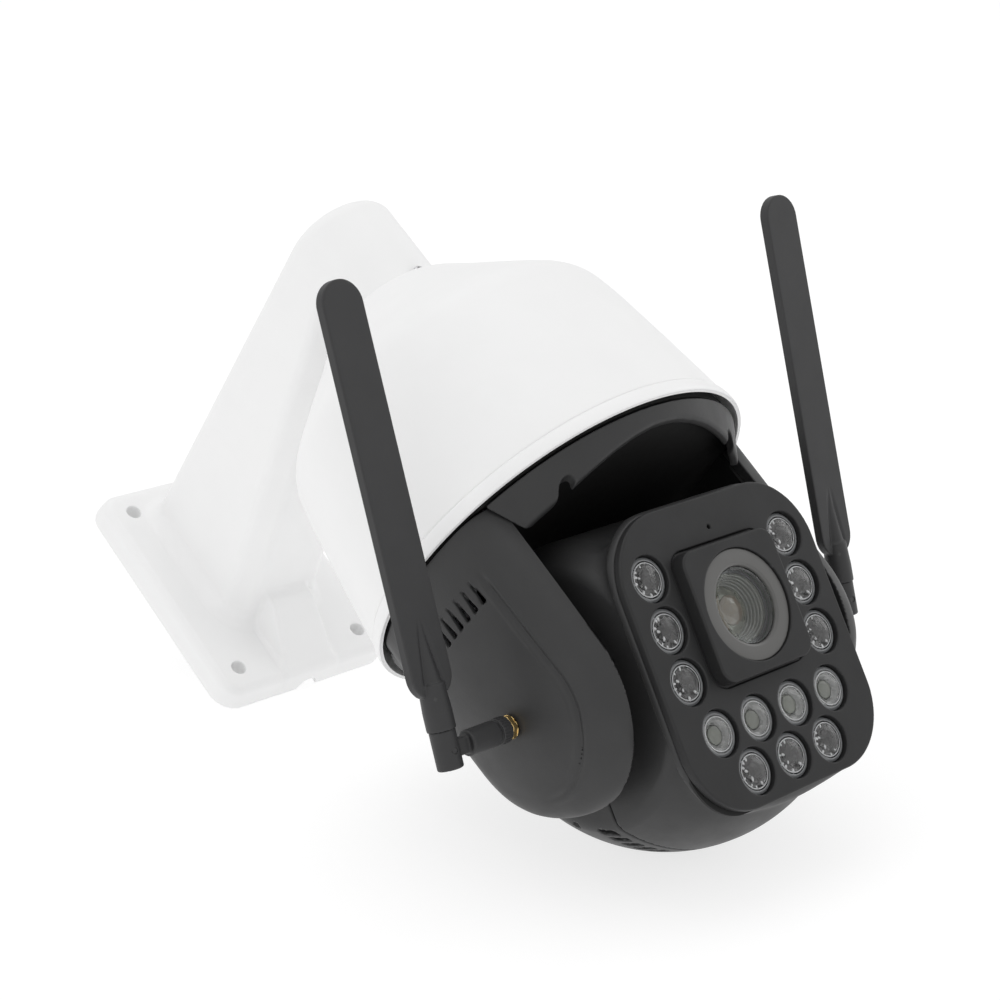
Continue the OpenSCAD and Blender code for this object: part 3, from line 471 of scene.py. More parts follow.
def bracket(x, y, z):
    """Plate, arm, neck and hump in one casting, hollow inside."""
    plan, under = arm_plan(x, y), arm_under(y, z)
    bevel = (np.abs(x) - NECK_R + under) * DIAGONAL + 5.6
    arm = rmax(rmax(rmax(plan, z - ARM_TOP, 5.5), under, 1.4), bevel, 1.8)
    arm = np.maximum(arm, -y - REACH - NECK_R)
    column = np.hypot(x, y + REACH) - NECK_R
    neck = np.maximum(rmax(column, -8 - z, 1.2), z - 20)
    body = np.minimum(arm, neck)
    draft = 0.2 * np.maximum(-y - 2, 0)
    plate = rmax(rect(x, z, PLATE_X, PLATE_Z, 10) + draft, -y - PLATE_DEEP, 3.4)
    d = rmin(rmin(body, plate, 7), hump(x, y, z), 2.2)
    d = rmax(d, y, 0.6)
    inside = rmax(rmax(plan + ARM_WALL, z - DUCT_TOP, 3), under + 3.4, 3)
    inside = np.maximum(inside, bevel + ARM_WALL)
    bore = np.maximum(np.hypot(x, y + REACH) - DUCT_R, z - DUCT_TOP)
    d = cut(d, np.minimum(inside, bore), 0.5)
    hole = np.hypot(np.abs(x) - HOLE_X, np.abs(z) - HOLE_Z)
    d = cut(d, hole - HOLE_R, 0.35)
    notch = np.maximum(np.hypot(x, y) - CORD_NOTCH_R, z + 40)
    d = cut(d, notch, 0.4)
    for a in NECK_SCREWS:
        u, v = math.radians(a - 90), math.radians(a)
        away = x * math.cos(u) + (y + REACH) * math.sin(u)
        aside = x * math.cos(v) + (y + REACH) * math.sin(v)
        reach = np.hypot(aside, z + 2)
        d = np.maximum(d, -np.maximum(reach - 1.5, -away))
    return d


carved = carve("bracket_casting", bracket, (-46, -198.5, -57), (46, 0, 57), 1.0, WHITE, "mount",
               slot="white_abs")
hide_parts("wall_bracket")

# ---------------------------------------------------------------- canopy
OUTER = [(24.45, -1.5), (25.6, -1.4), (29, -2.6), (34.0, -6.4), (40.9, -13.2), (47.2, -19.2), (53.2, -24.8),
         (59.0, -30.3), (64.6, -35.7), (68.1, -39.4), (70.6, -43.2), (72.0, -47.2), (72.9, -51.5),
         (74.1, -58), (75.7, -70), (77.3, -82), (79.0, -96), (80.4, -108), (80.9, -112.2), (80.75, -112.9),
         (81.5, -113.7), (82.1, -116.0), (82.2, -118.2), (81.8, -118.9)]
INNER = [(80.6, -118.9), (80.3, -118.6), (79.6, -115), (77.9, -108), (75.4, -94), (73.5, -80), (70.6, -60),
         (69, -51), (66.2, -45.2), (60, -38), (50, -28), (38, -17), (29.5, -11.2), (21.2, -11), (21.0, -10.6),
         (21.0, -8.5), (21.4, -8.15), (24.0, -8.1), (24.35, -7.6), (24.35, -2.0)]


def smooth_line(points, n):
    """A Catmull-Rom line through points, n steps between each pair."""
    out = []
    for i in range(len(points) - 1):
        p = [Vector(points[min(max(i + k, 0), len(points) - 1)]) for k in (-1, 0, 1, 2)]
        square = 2 * p[0] - 5 * p[1] + 4 * p[2] - p[3]
        cube = 3 * p[1] - p[0] - 3 * p[2] + p[3]
        for t in range(n):
            t /= n
            q = 0.5 * (2 * p[1] + (p[2] - p[0]) * t + square * t * t + cube * t ** 3)
            out.append((q.x, q.y))
    return out + [tuple(points[-1])]


canopy = lathe("canopy_moulding", smooth_line(OUTER, 4) + smooth_line(INNER, 2), WHITE, "mount", AT_PAN,
               r=0, segments=224, slot="white_abs", sharp=50)
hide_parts("canopy")

# ---------------------------------------------------------------- yoke, under the canopy
YOKE_TOP = RIM_Z - 0.7
FASCIA_R, FASCIA_WALL = 78.3, 3.1
ARCH_X = [0, 6, 15, 24, 33, 40, 48, 60]
ARCH_Z = [-125.0, -125.1, -126.0, -127.4, -129.2, -130.6, -131.8, -133.0]


def fascia(notched):
    """A band under the canopy with an arched lower edge, with or without its two small notches."""
    def f(x, y, z):
        r = np.hypot(x, y)
        outer = (r - FASCIA_R - 0.6 * (z - YOKE_TOP)) * 0.857
        ring = np.maximum(outer, -(outer + FASCIA_WALL))
        arch = np.interp(np.abs(x), ARCH_X, ARCH_Z)
        d = rmax(rmax(ring, z - YOKE_TOP, 0.5), (arch - z) * 0.96, 1.0)
        d = rmax(d, y + 41.8, 0.5)
        if notched:
            for s in (-1, 1):
                d = cut(d, segment(x, z, (s * 43.2, -129.6), (s * 43.9, -132)) - 2.7, 0.4)
        return d
    return f


FASCIA_BOX = (-69, -78.6, -135), (69, -41, -119)
front = carve("front_fascia_band", fascia(True), *FASCIA_BOX, 0.6, BLACK, "pan_yoke", AT_PAN, "black_abs")
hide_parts("front_fascia")
rear = carve("rear_fascia_band", fascia(False), *FASCIA_BOX, 0.8, BLACK, "pan_yoke",
             AT_PAN @ Matrix.Rotation(math.pi, 4, "Z"), "black_abs")
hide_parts("rear_fascia")

CHEEK_R, CHEEK_TOP, CHEEK_X = 41.5, 62, 59.05
CHEEK_WALL, CHEEK_FLANGE = 2.5, 3.2
GROOVE_R = 28.5
LOUVRES, LOUVRE_FIRST, LOUVRE_GAP = 7, -23.2, 4.6
CHEEK_SIDE = [(62, -41.5), (70, -33.5), (76.5, -24), (79.8, -8), (80.8, 62)]   # (radius, height)


def cheek_body(x, y, z):
    """The cheek's outside: its round outline, dome and the turned side that meets the canopy."""
    tuck = (1.0 + 3.2 * step(-14, 20, y)) * step(2, -32, z)
    outline = np.where(z < 0, np.hypot(y, z) + tuck, np.abs(y)) - CHEEK_R
    lower = 0.5 * np.minimum(z + 6, 0) ** 2
    dome = (np.sqrt((x + 18.4 - 0.0559 * z) ** 2 + y * y + lower) - 96) * 0.99
    r = np.hypot(x, y)
    d = rmax(outline, dome, 11)
    for (r0, z0), (r1, z1) in zip(CHEEK_SIDE, CHEEK_SIDE[1:]):
        n = math.hypot(r1 - r0, z1 - z0)
        d = rmax(d, ((r - r0) * (z1 - z0) - (z - z0) * (r1 - r0)) / n, 5)
    return rmax(d, z - CHEEK_TOP, 0.6)


def cheek(x, y, z):
    """The +X cheek cover, from the tilt axis, with its round groove and louvres."""
    d = cheek_body(x, y, z)
    path = np.where(z > 0, np.abs(y + GROOVE_R), np.abs(np.hypot(y, z) - GROOVE_R))
    fade = (1 - step(2, 14, y)) * (1 - step(38, 47, z)) * step(66, 70, x)
    skin = d + 0.95 * fade * np.exp(-(path / 0.75) ** 2)
    skin -= 0.35 * fade * np.exp(-((path - 1.9) / 0.9) ** 2)
    wide = np.interp(z, [36.4, 45], [1.25, 0.35])
    deep = np.interp(z, [36.4, 39, 46], [4.2, 3.6, 0.2])
    for i in range(LOUVRES):
        at = LOUVRE_FIRST + i * LOUVRE_GAP
        slot = rmax(np.abs(y - at) - wide, np.abs(z - 41.2) - 4.8, 0.5)
        slot = np.maximum(slot, np.maximum(-(d + deep), 60 - x))
        skin = cut(skin, slot, 0.25)
    hollow = np.maximum(d + CHEEK_WALL + CHEEK_FLANGE - CHEEK_FLANGE * step(60.6, 61.4, x), 58 - x)
    skin = cut(skin, hollow, 0.2)
    skin = np.maximum(skin, -np.maximum(np.hypot(x, y) - 72.1, 57.9 - z))
    skin = cut(skin, np.hypot(y, z) - 3.3, 0.25)
    return rmax(skin, CHEEK_X - x, 0.2)


CHEEK_BOX = (CHEEK_X, -41.6, -41.6), (81, 41.6, 62)
SIDES = {"right": Matrix.Identity(4), "left": MIRROR}
for side, mirror in SIDES.items():
    cover = carve(side + "_cheek_shell", cheek, *CHEEK_BOX, 0.72, BLACK, "pan_yoke", AT_TILT @ mirror,
                  "black_abs")
    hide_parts(side + "_cheek_cover")

# ---------------------------------------------------------------- head
FACE_HALF_X, FACE_HALF_Z, FACE_CORNER, FACE_DOWN = 50, 53.9, 26, 1.35
BALL_R = 66.9
PIVOT_R = 6.3
VENTS = 5


def face_outline(x, z, grow):
    """The outline of the face panel and of the shell's edge behind it."""
    return rect(x, z + FACE_DOWN, FACE_HALF_X + grow, FACE_HALF_Z + grow, FACE_CORNER + grow)


def head(x, y, z):
    """The head's outer skin, level, from the tilt axis: a ball with flat sides and a flared rim.

    The slanting plane keeps its top under the yoke when the head looks up."""
    ball = np.sqrt(x * x + (y + 1.5) ** 2 + (z - 0.7) ** 2) - BALL_R
    wedge = np.minimum(0.804 * y + 0.595 * z, 0.522 * y + 0.853 * z)
    d = rmax(ball, rmin(np.hypot(y, z) - 56, wedge, 5), 2)
    d = rmax(d, np.abs(x) - 48, 2.2)
    d = np.maximum(d, -42.5 - y)
    edge = face_outline(x, z, 0.1)
    rim = rmax(edge, y + 40.5, 0.6)
    d = rmin(d, rim, 2.4 + 7.6 * step(24, 46, np.abs(z + FACE_DOWN)))
    d = rmax(d, (edge - (y + 43.4)) * 0.7, 1)
    d = rmax(d, 0.9962 * z - 0.0872 * y - 57, 1.5)
    return rmax(d, -43.4 - y, 0.5)


def front_shell(x, y, z):
    d = head(x, y, z)
    d = cut(d, d + SHELL, 0.1)
    d = cut(rmax(d, y + 0.6, 0.5), np.hypot(y, z) - PIVOT_R, 0.3)
    return cut(d, np.maximum(face_outline(x, z, -4), y + 39), 0.3)


def rear_shell(x, y, z):
    d = head(x, y, z)
    d = cut(d, d + SHELL, 0.1)
    d = cut(rmax(d, -0.3 - y, 0.5), np.hypot(y, z) - PIVOT_R, 0.3)
    turn = np.degrees(np.arctan2(np.abs(x), -z))
    for i in range(VENTS):
        near = np.abs((turn - 24 - 5 * i) * 1.16 - 0.3 * (y - 7.2)) - 1.6
        slot = rmax(near, np.abs(y - 7.2) - 3.5, 0.5)
        d = cut(d, np.maximum(slot, z + 20), 0.3)
    dimple = np.sqrt((np.abs(x) - 46.6) ** 2 + (y - 20.9) ** 2 + (z + 41.3) ** 2) - 1.5
    d = cut(d, dimple, 0.2)
    for sx in (-27, 27):
        for sz in (-36, 22):
            d = cut(d, np.maximum(np.hypot(x - sx, z - sz) - 3.2, 35.4 - y), 0.3)
    return d


shell = carve("head_front_moulding", front_shell, (-50.5, -43.6, -66.4), (50.5, 0, 57), 1.0, BLACK,
              "tilt_head", AT_HEAD, "black_abs", fine=((), ((-44, -42.4, 0.4),), ()))
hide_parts("head_front_shell")
shell = carve("head_rear_moulding", rear_shell, (-48.2, -0.5, -66.4), (48.2, 65.6, 57), 0.95, BLACK,
              "tilt_head", AT_HEAD, "black_abs")
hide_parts("head_rear_shell")


def panel(x, y, z):
    """The face plate with a hole for each lamp, the lens and the microphone, and a moat round the bezel."""
    d = rmax(face_outline(x, z, 0), np.abs(y + FACE_Y - 1.72) - 1.72, 0.7)
    for px, pz in LAMPS:
        d = cut(d, np.hypot(x - px, z - pz) - 8.45, 0.45)
    moat = rect(x, z - LENS_Z, 25.1, 25.1, 7.1)
    d = cut(d, np.maximum(moat, y + FACE_Y - 0.6), 0.3)
    d = cut(d, np.hypot(x, z - LENS_Z) - 21, 0.3)
    return cut(d, np.hypot(x, z - LENS_Z - 30) - 0.85, 0.2)


plate = carve("face_plate", panel, (-50.2, -47.1, -55.5), (50.2, -43.2, 52.8), 0.62, PANEL,
              "tilt_head", AT_HEAD, "black_abs")
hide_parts("face_panel")


def bezel(x, y, z):
    """The square block round the window, from the lens axis."""
    d = rmax(rect(x, z, 24, 24, 6), np.abs(y + FACE_Y + 1.85) - 3.15, 0.75)
    return cut(d, np.hypot(x, z) - 20.5, 0.35)


AT_BEZEL = AT_HEAD @ Matrix.Translation((0, 0, LENS_Z))
block = carve("window_bezel", bezel, (-24.1, -52, -24.1), (24.1, -45.4, 24.1), 0.5, PANEL,
              "tilt_head", AT_BEZEL, "black_abs")
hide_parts("lens_bezel")

AT_LENS = AT_BEZEL @ OUT_OF_FACE
COLLAR = [(20.4, 45.0), (20.4, 50.7), (20.0, 51.0), (15.2, 51.0), (14.3, 50.6), (14.05, 50.0), (14.05, 46.4),
          (17, 46.0), (17, 45)]
WINDOW = [(0.0, 50.2), (12.6, 50.2), (13.9, 49.9), (13.9, 48.7), (0.0, 48.7)]
ring = lathe("window_collar", COLLAR, RING_GREY, "tilt_head", AT_LENS, r=0.2, segments=128, slot="grey_ring")
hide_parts("window_ring")
glass = lathe("window_glass", WINDOW, GLASS, "tilt_head", AT_LENS, r=0.15, closed=False, slot="clear_glass")
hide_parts("lens_window")


def barrel_steps():
    """The lens barrel with stepped, ribbed baffles inside it."""
    out = [(13.4, 2), (13.4, 46.6), (12.9, 47.0), (12.1, 46.8), (12.0, 45.6)]
    for i in range(9):
        z = 45.2 - i * 1.1
        out += [(12.0 - 0.12 * i, z), (11.55 - 0.12 * i, z - 0.35)]
    return out + [(11.9, 34), (11.9, 3), (12.2, 2)]


tube = lathe("lens_barrel_ribbed", barrel_steps(), TUBE, "tilt_head", AT_LENS, r=0.08, slot="black_metal")
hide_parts("lens_barrel")


# ---------------------------------------------------------------- lamps and lenses
def repeated(name, profile, places, material, segments=56, closed=True, wave=None, r=0.15, slot=None,
             sharp=35):
    """One piece holding a turned profile at each (x, z) of the face panel."""
    points, faces = turned(rounded(profile, r, closed=closed), segments, closed, wave)
    on_panel = [Matrix.Translation((x, -FACE_Y, z)) @ OUT_OF_FACE for x, z in places]
    points, faces = copies(points, faces, on_panel)
    o = make(name, points, faces, material, "tilt_head", AT_HEAD, slot=slot)
    outward(o)
    o.data.set_sharp_from_angle(angle=math.radians(sharp))
    return o


DOME = [(0.0, -0.25), (1.6, -0.3), (3.2, -0.48), (4.8, -0.8), (6.1, -1.25), (6.7, -1.6), (6.7, -2.7),
        (6.3, -2.6), (4.8, -1.6), (3.2, -1.28), (1.6, -1.1), (0.0, -1.05)]
LIP = [(6.75, -1.55), (7.1, -1.45), (8.0, -1.9), (8.2, -2.2), (8.2, -3.4), (6.75, -3.4)]
IR_BOWL = [(6.7, -2.0), (5.9, -2.5), (4.6, -3.2), (3.6, -3.3), (2.4, -3.9), (0.0, -4.2), (0.0, -5.2),
           (4.6, -4.8), (6.7, -3.6)]
LIT_BOWL = [(6.7, -1.9), (5.6, -2.4), (4.5, -3.0), (3.6, -3.8), (3.4, -4.8), (6.7, -4.8)]
DISC = [(0.0, -3.3), (2.0, -3.35), (3.0, -3.5), (3.35, -3.8), (3.4, -5.0), (0.0, -5.0)]
# profile of a thin ring painted white: a painted highlight arc on each lamp
PAINTED_HIGHLIGHT_RING = [(5.75, -1.75), (6.0, -1.55), (6.25, -1.75), (6.0, -1.95)]


def facets(a, r, z):
    """Eight flutes round a lamp's bowl."""
    return 0.0 if r < 1 or r > 6.4 else 0.32 * abs(math.cos(4 * a + 0.5 * z)) - 0.16


def ribs(a, r, z):
    """Fine ribs round a white lamp's bowl."""
    return 0.0 if r > 6.4 else 0.06 * math.cos(16 * a)


dome = repeated("infrared_domes", DOME, INFRARED, ACRYLIC, closed=False, slot="clear_acrylic", sharp=50)
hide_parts("infrared_lenses")
dome = repeated("white_lamp_domes", DOME, FOUR_LAMPS, ACRYLIC, closed=False, slot="clear_acrylic",
                sharp=50)
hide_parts("white_lamp_lenses")
repeated("infrared_bowls", IR_BOWL, INFRARED, BOWL, 72, False, facets, slot="clear_acrylic",
         sharp=25)
repeated("white_lamp_bowls", LIT_BOWL, FOUR_LAMPS, BRIGHT, 72, wave=ribs, slot="clear_acrylic", sharp=40)
repeated("white_lamp_discs", DISC, FOUR_LAMPS, PALE, 48, closed=False, slot="emitter")
# a thin white ring in each lamp: painted highlight for the bright arc of light on its dome
repeated("lamp_painted_highlight_rings", PAINTED_HIGHLIGHT_RING, LAMPS, PAINTED_HIGHLIGHT_WHITE, 72, slot="clear_acrylic", r=0.08, sharp=60)


# each painted highlight spot's turn round its lamp in degrees and its distance from the lamp's middle
PAINTED_HIGHLIGHT_SPOTS = ((100, 5.2), (128, 5.5), (158, 5.0), (190, 5.5), (222, 5.1), (258, 5.4), (300, 5.0), (150, 2.6),
          (245, 2.3))


def painted_highlight_spot_places():
    """Places of small painted highlights in each infrared lamp, white specks that stand for light caught by
    its facets, uneven from lamp to lamp.
    """
    for i, (px, pz) in enumerate(INFRARED):
        for k, (turn, r) in enumerate(PAINTED_HIGHLIGHT_SPOTS):
            a = math.radians(turn + 9 * math.sin(2.3 * i + 1.7 * k))
            size = 0.75 + 0.55 * abs(math.sin(1.9 * i + 2.7 * k))
            deep = 2.2 if r > 4 else 3.2
            at = Matrix.Translation((px + r * math.cos(a), -FACE_Y + deep, pz + r * math.sin(a)))
            turned_in = Matrix.Rotation(a, 4, "Y").inverted() @ OUT_OF_FACE
            yield at @ turned_in @ Matrix.Diagonal((size, size * 0.6, size, 1))


# small white beads: painted highlights that stand for light reflected off the infrared lamps' facets
BEAD = [(0.0, 0.26), (0.45, 0.2), (0.8, 0.0), (0.45, -0.2), (0.0, -0.26)]
points, faces = copies(*turned(BEAD, 10, False), painted_highlight_spot_places())
outward(make("infrared_painted_highlight_spots", points, faces, PAINTED_HIGHLIGHT_WHITE, "tilt_head", AT_HEAD, slot="clear_acrylic"))
repeated("lamp_flanges", LIP, LAMPS, FLANGE, 72, slot="clear_acrylic", sharp=40)

FRONT_ELEMENT = [(0, 43.4), (2.5, 43.25), (5.2, 42.7), (7.4, 41.8), (8.5, 41.0), (8.9, 40.6), (8.9, 39.4),
                 (0, 39.4)]
INNER_ELEMENT = [(0, 43.95), (2.2, 43.8), (4.2, 43.35), (5.2, 42.9), (5.4, 42.5), (0, 42.3)]
IRIS = [(12.0, 46.4)]
for i in range(5):
    r, z = 0.62 * i, 1.05 * i
    IRIS += [(11.9 - r, 46.2 - z), (11.75 - r, 45.45 - z), (11.35 - r, 45.3 - z)]
IRIS += [(8.8, 40.9), (8.8, 40.0), (12.0, 40.0)]
element = lathe("front_element", FRONT_ELEMENT, COATED, "tilt_head", AT_LENS, r=0.1, closed=False,
                slot="coated_lens")
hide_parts("front_lens")
lathe("iris_steps", IRIS, STEPS, "tilt_head", AT_LENS, r=0.1, slot="black_metal")
# the inner element is a real lens shape, its brown colour a painted reflection of the pupil
lathe("inner_element", INNER_ELEMENT, BROWN_PAINTED_REFLECTION, "tilt_head", AT_LENS, r=0.1, closed=False, slot="coated_lens")


# ---------------------------------------------------------------- antennas
def connector(x, y, z):
    """The part that turns on the jack: knurled nut, neck, body and the elbow's tongue."""
    r = np.hypot(y, z)
    knurl = 0.11 * np.cos(26 * np.arctan2(z, y)) * (1 - step(1.3, 1.9, np.abs(x - 82.6)))
    nut = rmax(r - 4.72 - knurl, np.abs(x - 82.6) - 2.2, 0.4)
    neck = np.maximum(r - 4.15, np.abs(x - 88) - 5)
    body = rmax(r - 4.6, np.abs(x - 92) - 6.75, 0.9)
    tongue = rmax(segment(x, z, (92, 0), (ELBOW_X, 0)) - 2.95, np.abs(y) - 2, 0.45)
    d = rmin(np.minimum(np.minimum(nut, neck), body), tongue, 0.9)
    d = cut(d, np.maximum(r - 3.25, x - 86), 0.25)
    return np.maximum(d, 1.25 - np.hypot(x - ELBOW_X, z))


def knuckle(x, y, z):
    """The blade's forked end round the elbow pin."""
    u = x - ELBOW_X
    d = rmax(np.hypot(u, y) - 4.6, np.abs(z - 0.6) - 6.85, 0.75)
    slot = np.maximum(np.maximum(np.abs(y) - 2.3, u - 3.2), z - 4.4)
    d = cut(d, slot, 0.3)
    return np.maximum(d, 1.2 - np.hypot(u, z))


def blade(x, y, z):
    """The flat paddle with its tapering ridge and round root."""
    u = x - ELBOW_X
    outline = segment(u, z, (0, 26.4), (0, 152.25)) - 8.75
    flat = rmax(outline, np.abs(y) - 2, 0.55)
    t = np.clip((z - 14) / 33, 0, 1)
    ridge = (np.hypot(u, y) - 4.6 * (1 - t) ** 0.85 - 0.25) * 0.92
    ridge = np.maximum(ridge, z - 47)
    crease = np.abs(u) - (5.0 * (1 - t) + 0.3)
    flat = flat + 0.55 * np.exp(-(crease / 0.7) ** 2) * step(12, 20, z) * (1 - step(36, 47, z))
    root = rmax(np.hypot(u, y) - 4.6, np.abs(z - 15.4) - 7.6, 0.35)
    return rmin(rmin(flat, ridge, 0.35), root, 1.2)


CONNECTOR_BOX = (80.4, -4.9, -4.9), (110.5, 4.9, 4.9)
KNUCKLE_BOX = (102.8, -4.7, -6.3), (112.2, 4.7, 7.5)
BLADE_BOX = (98.7, -4.7, 7.8), (116.3, 4.7, 161)
for side, place in AT_ANTENNA.items():
    o = carve(side + "_swivel_connector", connector, *CONNECTOR_BOX, 0.33, ANTENNA, side + "_swivel", place,
              "antenna_plastic")
    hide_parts(side + "_antenna_connector")
    o = carve(side + "_elbow_knuckle", knuckle, *KNUCKLE_BOX, 0.33, ANTENNA, side + "_antenna", place,
              "antenna_plastic")
    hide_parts(side + "_antenna_barrel")
    o = carve(side + "_antenna_paddle", blade, *BLADE_BOX, 0.5, ANTENNA, side + "_antenna", place,
              "antenna_plastic")
    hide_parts(side + "_antenna_blade")


def jack(x, y, z):
    """The +X gold jack with its flange, thread, washer and six-sided nut."""
    r = np.hypot(y, z)
    turn = np.arctan2(z, y)
    thread = 0.12 * np.cos(turn + 2 * math.pi * (x - 70) / 0.7) * step(78, 79, x)
    d = rmax(r - 3.05 - thread, np.abs(x - 76.2) - 7.1, 0.3)
    d = np.minimum(d, rmax(r - 6.1, np.abs(x - 71.5) - 1.5, 0.2))
    sixths = [k * math.pi / 3 for k in range(6)]
    flats = np.max([y * math.cos(a) + z * math.sin(a) for a in sixths], axis=0) - 4.05
    nut = rmax(rmax(flats, r - 4.5, 0.15), np.abs(x - 79.2) - 1.0, 0.2)
    washer = rmax(r - 4.35, np.abs(x - 78.05) - 0.16, 0.08)
    return np.minimum(np.minimum(d, nut), washer)


for side, mirror in SIDES.items():
    o = carve(side + "_jack", jack, (69, -6.2, -6.2), (83.4, 6.2, 6.2), 0.24, BRASS, "pan_yoke",
              AT_TILT @ mirror, "brass")
    if side == "right":
        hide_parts("antenna_jacks", "jack_nuts")


# ---------------------------------------------------------------- screws
def pan_head(x, y, z):
    """A cross-recess screw whose head looks along +Z from z = 0."""
    r = np.hypot(x, y)
    ball = np.sqrt(x * x + y * y + (z + 2.6) ** 2) - 4.2
    d = rmax(rmax(r - 2.75, ball, 0.4), -z, 0.1)
    arm = 0.55 + 0.12 * z
    along_x = np.maximum(np.abs(y) - arm, np.abs(x) - 1.55)
    along_y = np.maximum(np.abs(x) - arm, np.abs(y) - 1.55)
    cross = np.maximum(np.minimum(along_y, along_x), 0.45 - z)
    d = cut(d, cross, 0.06)
    thread = 0.12 * np.cos(np.arctan2(y, x) - 2 * math.pi * z / 0.9)
    return np.minimum(d, np.maximum(r - 1.25 - thread, np.abs(z + 3.2) - 3.3))


def round_the_neck(out, z):
    """The places of the three neck screws, looking outward."""
    for a in NECK_SCREWS:
        turn = Matrix.Translation((0, -REACH, z)) @ Matrix.Rotation(math.radians(a), 4, "Z")
        yield turn @ Matrix.Translation((0, -out, 0)) @ OUT_OF_FACE


points, normals, faces = surface(pan_head, (-2.8, -2.8, -6.5), (2.8, 2.8, 1.7), 0.2)
places = [place @ Matrix.Rotation(0.5, 4, "Z") for place in round_the_neck(25.5, -2)]
normals = np.concatenate([normals @ np.array(place)[:3, :3].T for place in places])
points, faces = copies(points, faces, places)
screws = make("neck_cross_screws", points, faces, STEEL, "mount", None, normals, "steel")
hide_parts("neck_screws")


def pocket_cutter():
    """Three plugs that open a pocket in the canopy in front of each neck screw."""
    plug = turned([(0, 0), (4.0, 0), (4.0, 26), (0, 26)], 32, False)
    o = make("cutter", *copies(*plug, round_the_neck(25.45, -1.6)), WHITE, "mount")
    outward(o)
    return o


tool = pocket_cutter()
cutting = canopy.modifiers.new("pockets", "BOOLEAN")
cutting.object, cutting.operation, cutting.solver = tool, "DIFFERENCE", "EXACT"
with_pockets = bpy.data.meshes.new_from_object(canopy.evaluated_get(bpy.context.evaluated_depsgraph_get()))
canopy.modifiers.clear()
canopy.data = with_pockets
bpy.data.objects.remove(tool)
canopy.data.set_sharp_from_angle(angle=math.radians(42))

# ---------------------------------------------------------------- CAD nodes that stay as they are
KEPT = {
    "neck_grommet": SEAL, "rim_seal": SEAL, "chassis_plate": STEEL, "chassis_screws": STEEL,
    "pan_bearing": STEEL, "board_pillars": BRASS, "main_board": BOARD, "pan_motor": MOTOR,
    # the yoke takes the darker black as painted shade in the recess round the head
    "pan_motor_pulley": DRIVE, "pan_pulley": DRIVE, "pan_belt": SEAL, "yoke": PAINTED_SHADE_BLACK,
    "pulley_screws": STEEL, "cover_screws": STEEL, "tilt_bushes": BRASS, "tilt_motor": MOTOR,
    "tilt_motor_pulley": DRIVE, "tilt_belt": SEAL, "tilt_pulley": DRIVE, "radio_board": BOARD,
    "left_tilt_shaft": STEEL, "right_tilt_shaft": STEEL, "head_screws": STEEL, "panel_seal": SEAL,
    "zoom_carriage": TUBE, "zoom_lens": COATED, "zoom_motor": MOTOR, "sensor_board": BOARD,
    "lamp_board": BOARD, "lamp_emitters": EMITTER, "microphone": MOTOR, "heat_sink": FINS,
    "left_elbow_pin": ANTENNA, "right_elbow_pin": ANTENNA,
}
for node, paint in KEPT.items():
    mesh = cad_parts[node].data
    mesh.materials.clear()
    mesh.materials.append(paint)

# ---------------------------------------------------------------- floor, light and camera
NORMAL = Vector((0, -0.8007, 0.5991)).normalized()
ACROSS = Vector((1, 0, 0))
DEEP = NORMAL.cross(ACROSS)
FOOT = Vector((0, 0, -0.0572))
FLOOR_HALF = 60.0
FLOOR_GLOW = 0.74
WORLD_LIGHT = 0.80
MIDDLE = Vector((0, -0.14, -0.12))


def on_floor(a, b, up=0.0):
    """A point of the slanting floor, in metres across, along and above it."""
    return FOOT + ACROSS * a + DEEP * b + NORMAL * up


def floor_paint():
    """A glowing white that can't be seen from below."""
    p = Paint("floor_white", (0.32, 0.32, 0.32), 0.9, Specular_IOR_Level=0.1).tone(2, 0.004).gloss(3, 0.02)
    p.done()
    see_through = p.n.new("ShaderNodeBsdfTransparent")
    below = p.n.new("ShaderNodeNewGeometry").outputs["Backfacing"]
    choose = p.n.new("ShaderNodeMixShader")
    p.l.new(below, choose.inputs["Fac"])
    p.l.new(p.b.outputs["BSDF"], choose.inputs[1])
    p.l.new(see_through.outputs["BSDF"], choose.inputs[2])
    p.l.new(choose.outputs["Shader"], p.n["Material Output"].inputs["Surface"])
    p.b.inputs["Emission Color"].default_value = (1, 1, 1, 1)
    p.b.inputs["Emission Strength"].default_value = FLOOR_GLOW
    return p.m


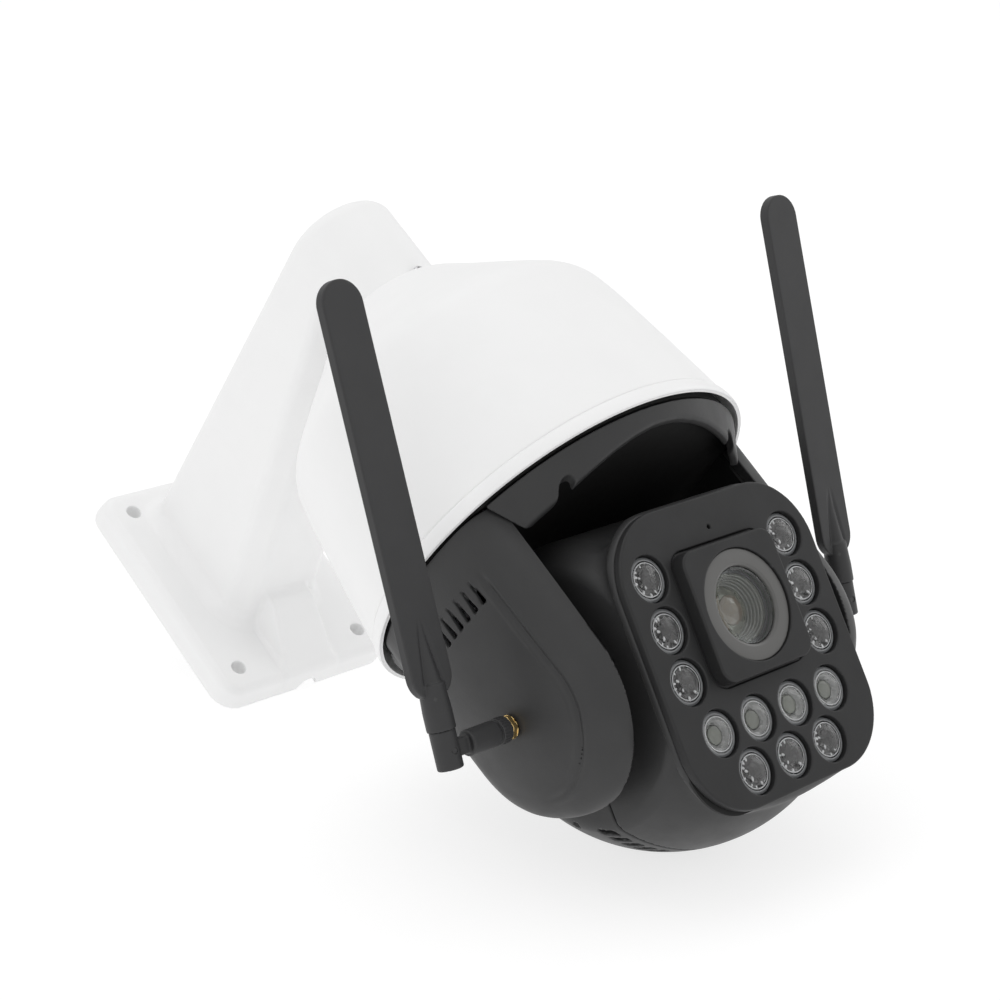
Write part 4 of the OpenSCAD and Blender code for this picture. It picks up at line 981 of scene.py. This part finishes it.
mesh = bpy.data.meshes.new("floor")
corners = [on_floor(a * FLOOR_HALF, b * FLOOR_HALF) for a, b in ((-1, -1), (1, -1), (1, 1), (-1, 1))]
mesh.from_pydata(corners, [], [(0, 1, 2, 3)])
floor = bpy.data.objects.new("floor", mesh)
bpy.context.scene.collection.objects.link(floor)
if mesh.polygons[0].normal.dot(NORMAL) < 0:
    mesh.flip_normals()
mesh.materials.append(floor_paint())

world = bpy.data.worlds.new("studio")
bpy.context.scene.world = world
world.use_nodes = True
world.node_tree.nodes["Background"].inputs["Color"].default_value = (1, 1, 1, 1)
world.node_tree.nodes["Background"].inputs["Strength"].default_value = WORLD_LIGHT


def softbox(name, at, size, watts):
    """A rectangular lamp that looks at the camera's middle."""
    l = bpy.data.lights.new(name, "AREA")
    l.shape, l.size, l.size_y, l.energy = "RECTANGLE", size[0], size[1], watts
    o = bpy.data.objects.new(name, l)
    bpy.context.scene.collection.objects.link(o)
    o.location = at
    o.rotation_mode = "QUATERNION"
    o.rotation_quaternion = (MIDDLE - at).to_track_quat("-Z", "Y")


softbox("overhead", on_floor(-0.1, 0.2, 1.9), (1.8, 1.8), 7)
softbox("left_key", on_floor(-1.7, 0.3, 1.1), (1.1, 1.3), 2.2)
softbox("right_fill", on_floor(1.8, -0.6, 1.0), (1.2, 1.2), 4.0)

scene = bpy.context.scene
scene.view_settings.view_transform = "Standard"
scene.view_settings.look = "None"
scene.view_settings.exposure = 0.0

EYE = Vector((-0.60126, -0.74163, -0.41871))
AHEAD = Vector((0.66819, 0.64600, 0.36906)).normalized()
UP = Vector((0.20688, -0.63783, 0.74187))
SENSOR, FOCAL = 36, 84.57
camera = bpy.data.objects.new("camera", bpy.data.cameras.new("camera"))
scene.collection.objects.link(camera)
up = (UP - AHEAD * UP.dot(AHEAD)).normalized()
right = AHEAD.cross(up)
rows = [(right[k], up[k], -AHEAD[k], EYE[k]) for k in range(3)]
camera.matrix_world = Matrix((*rows, (0, 0, 0, 1)))
camera.data.sensor_width, camera.data.lens = SENSOR, FOCAL
camera.data.clip_start, camera.data.clip_end = 0.05, 60
scene.camera = camera
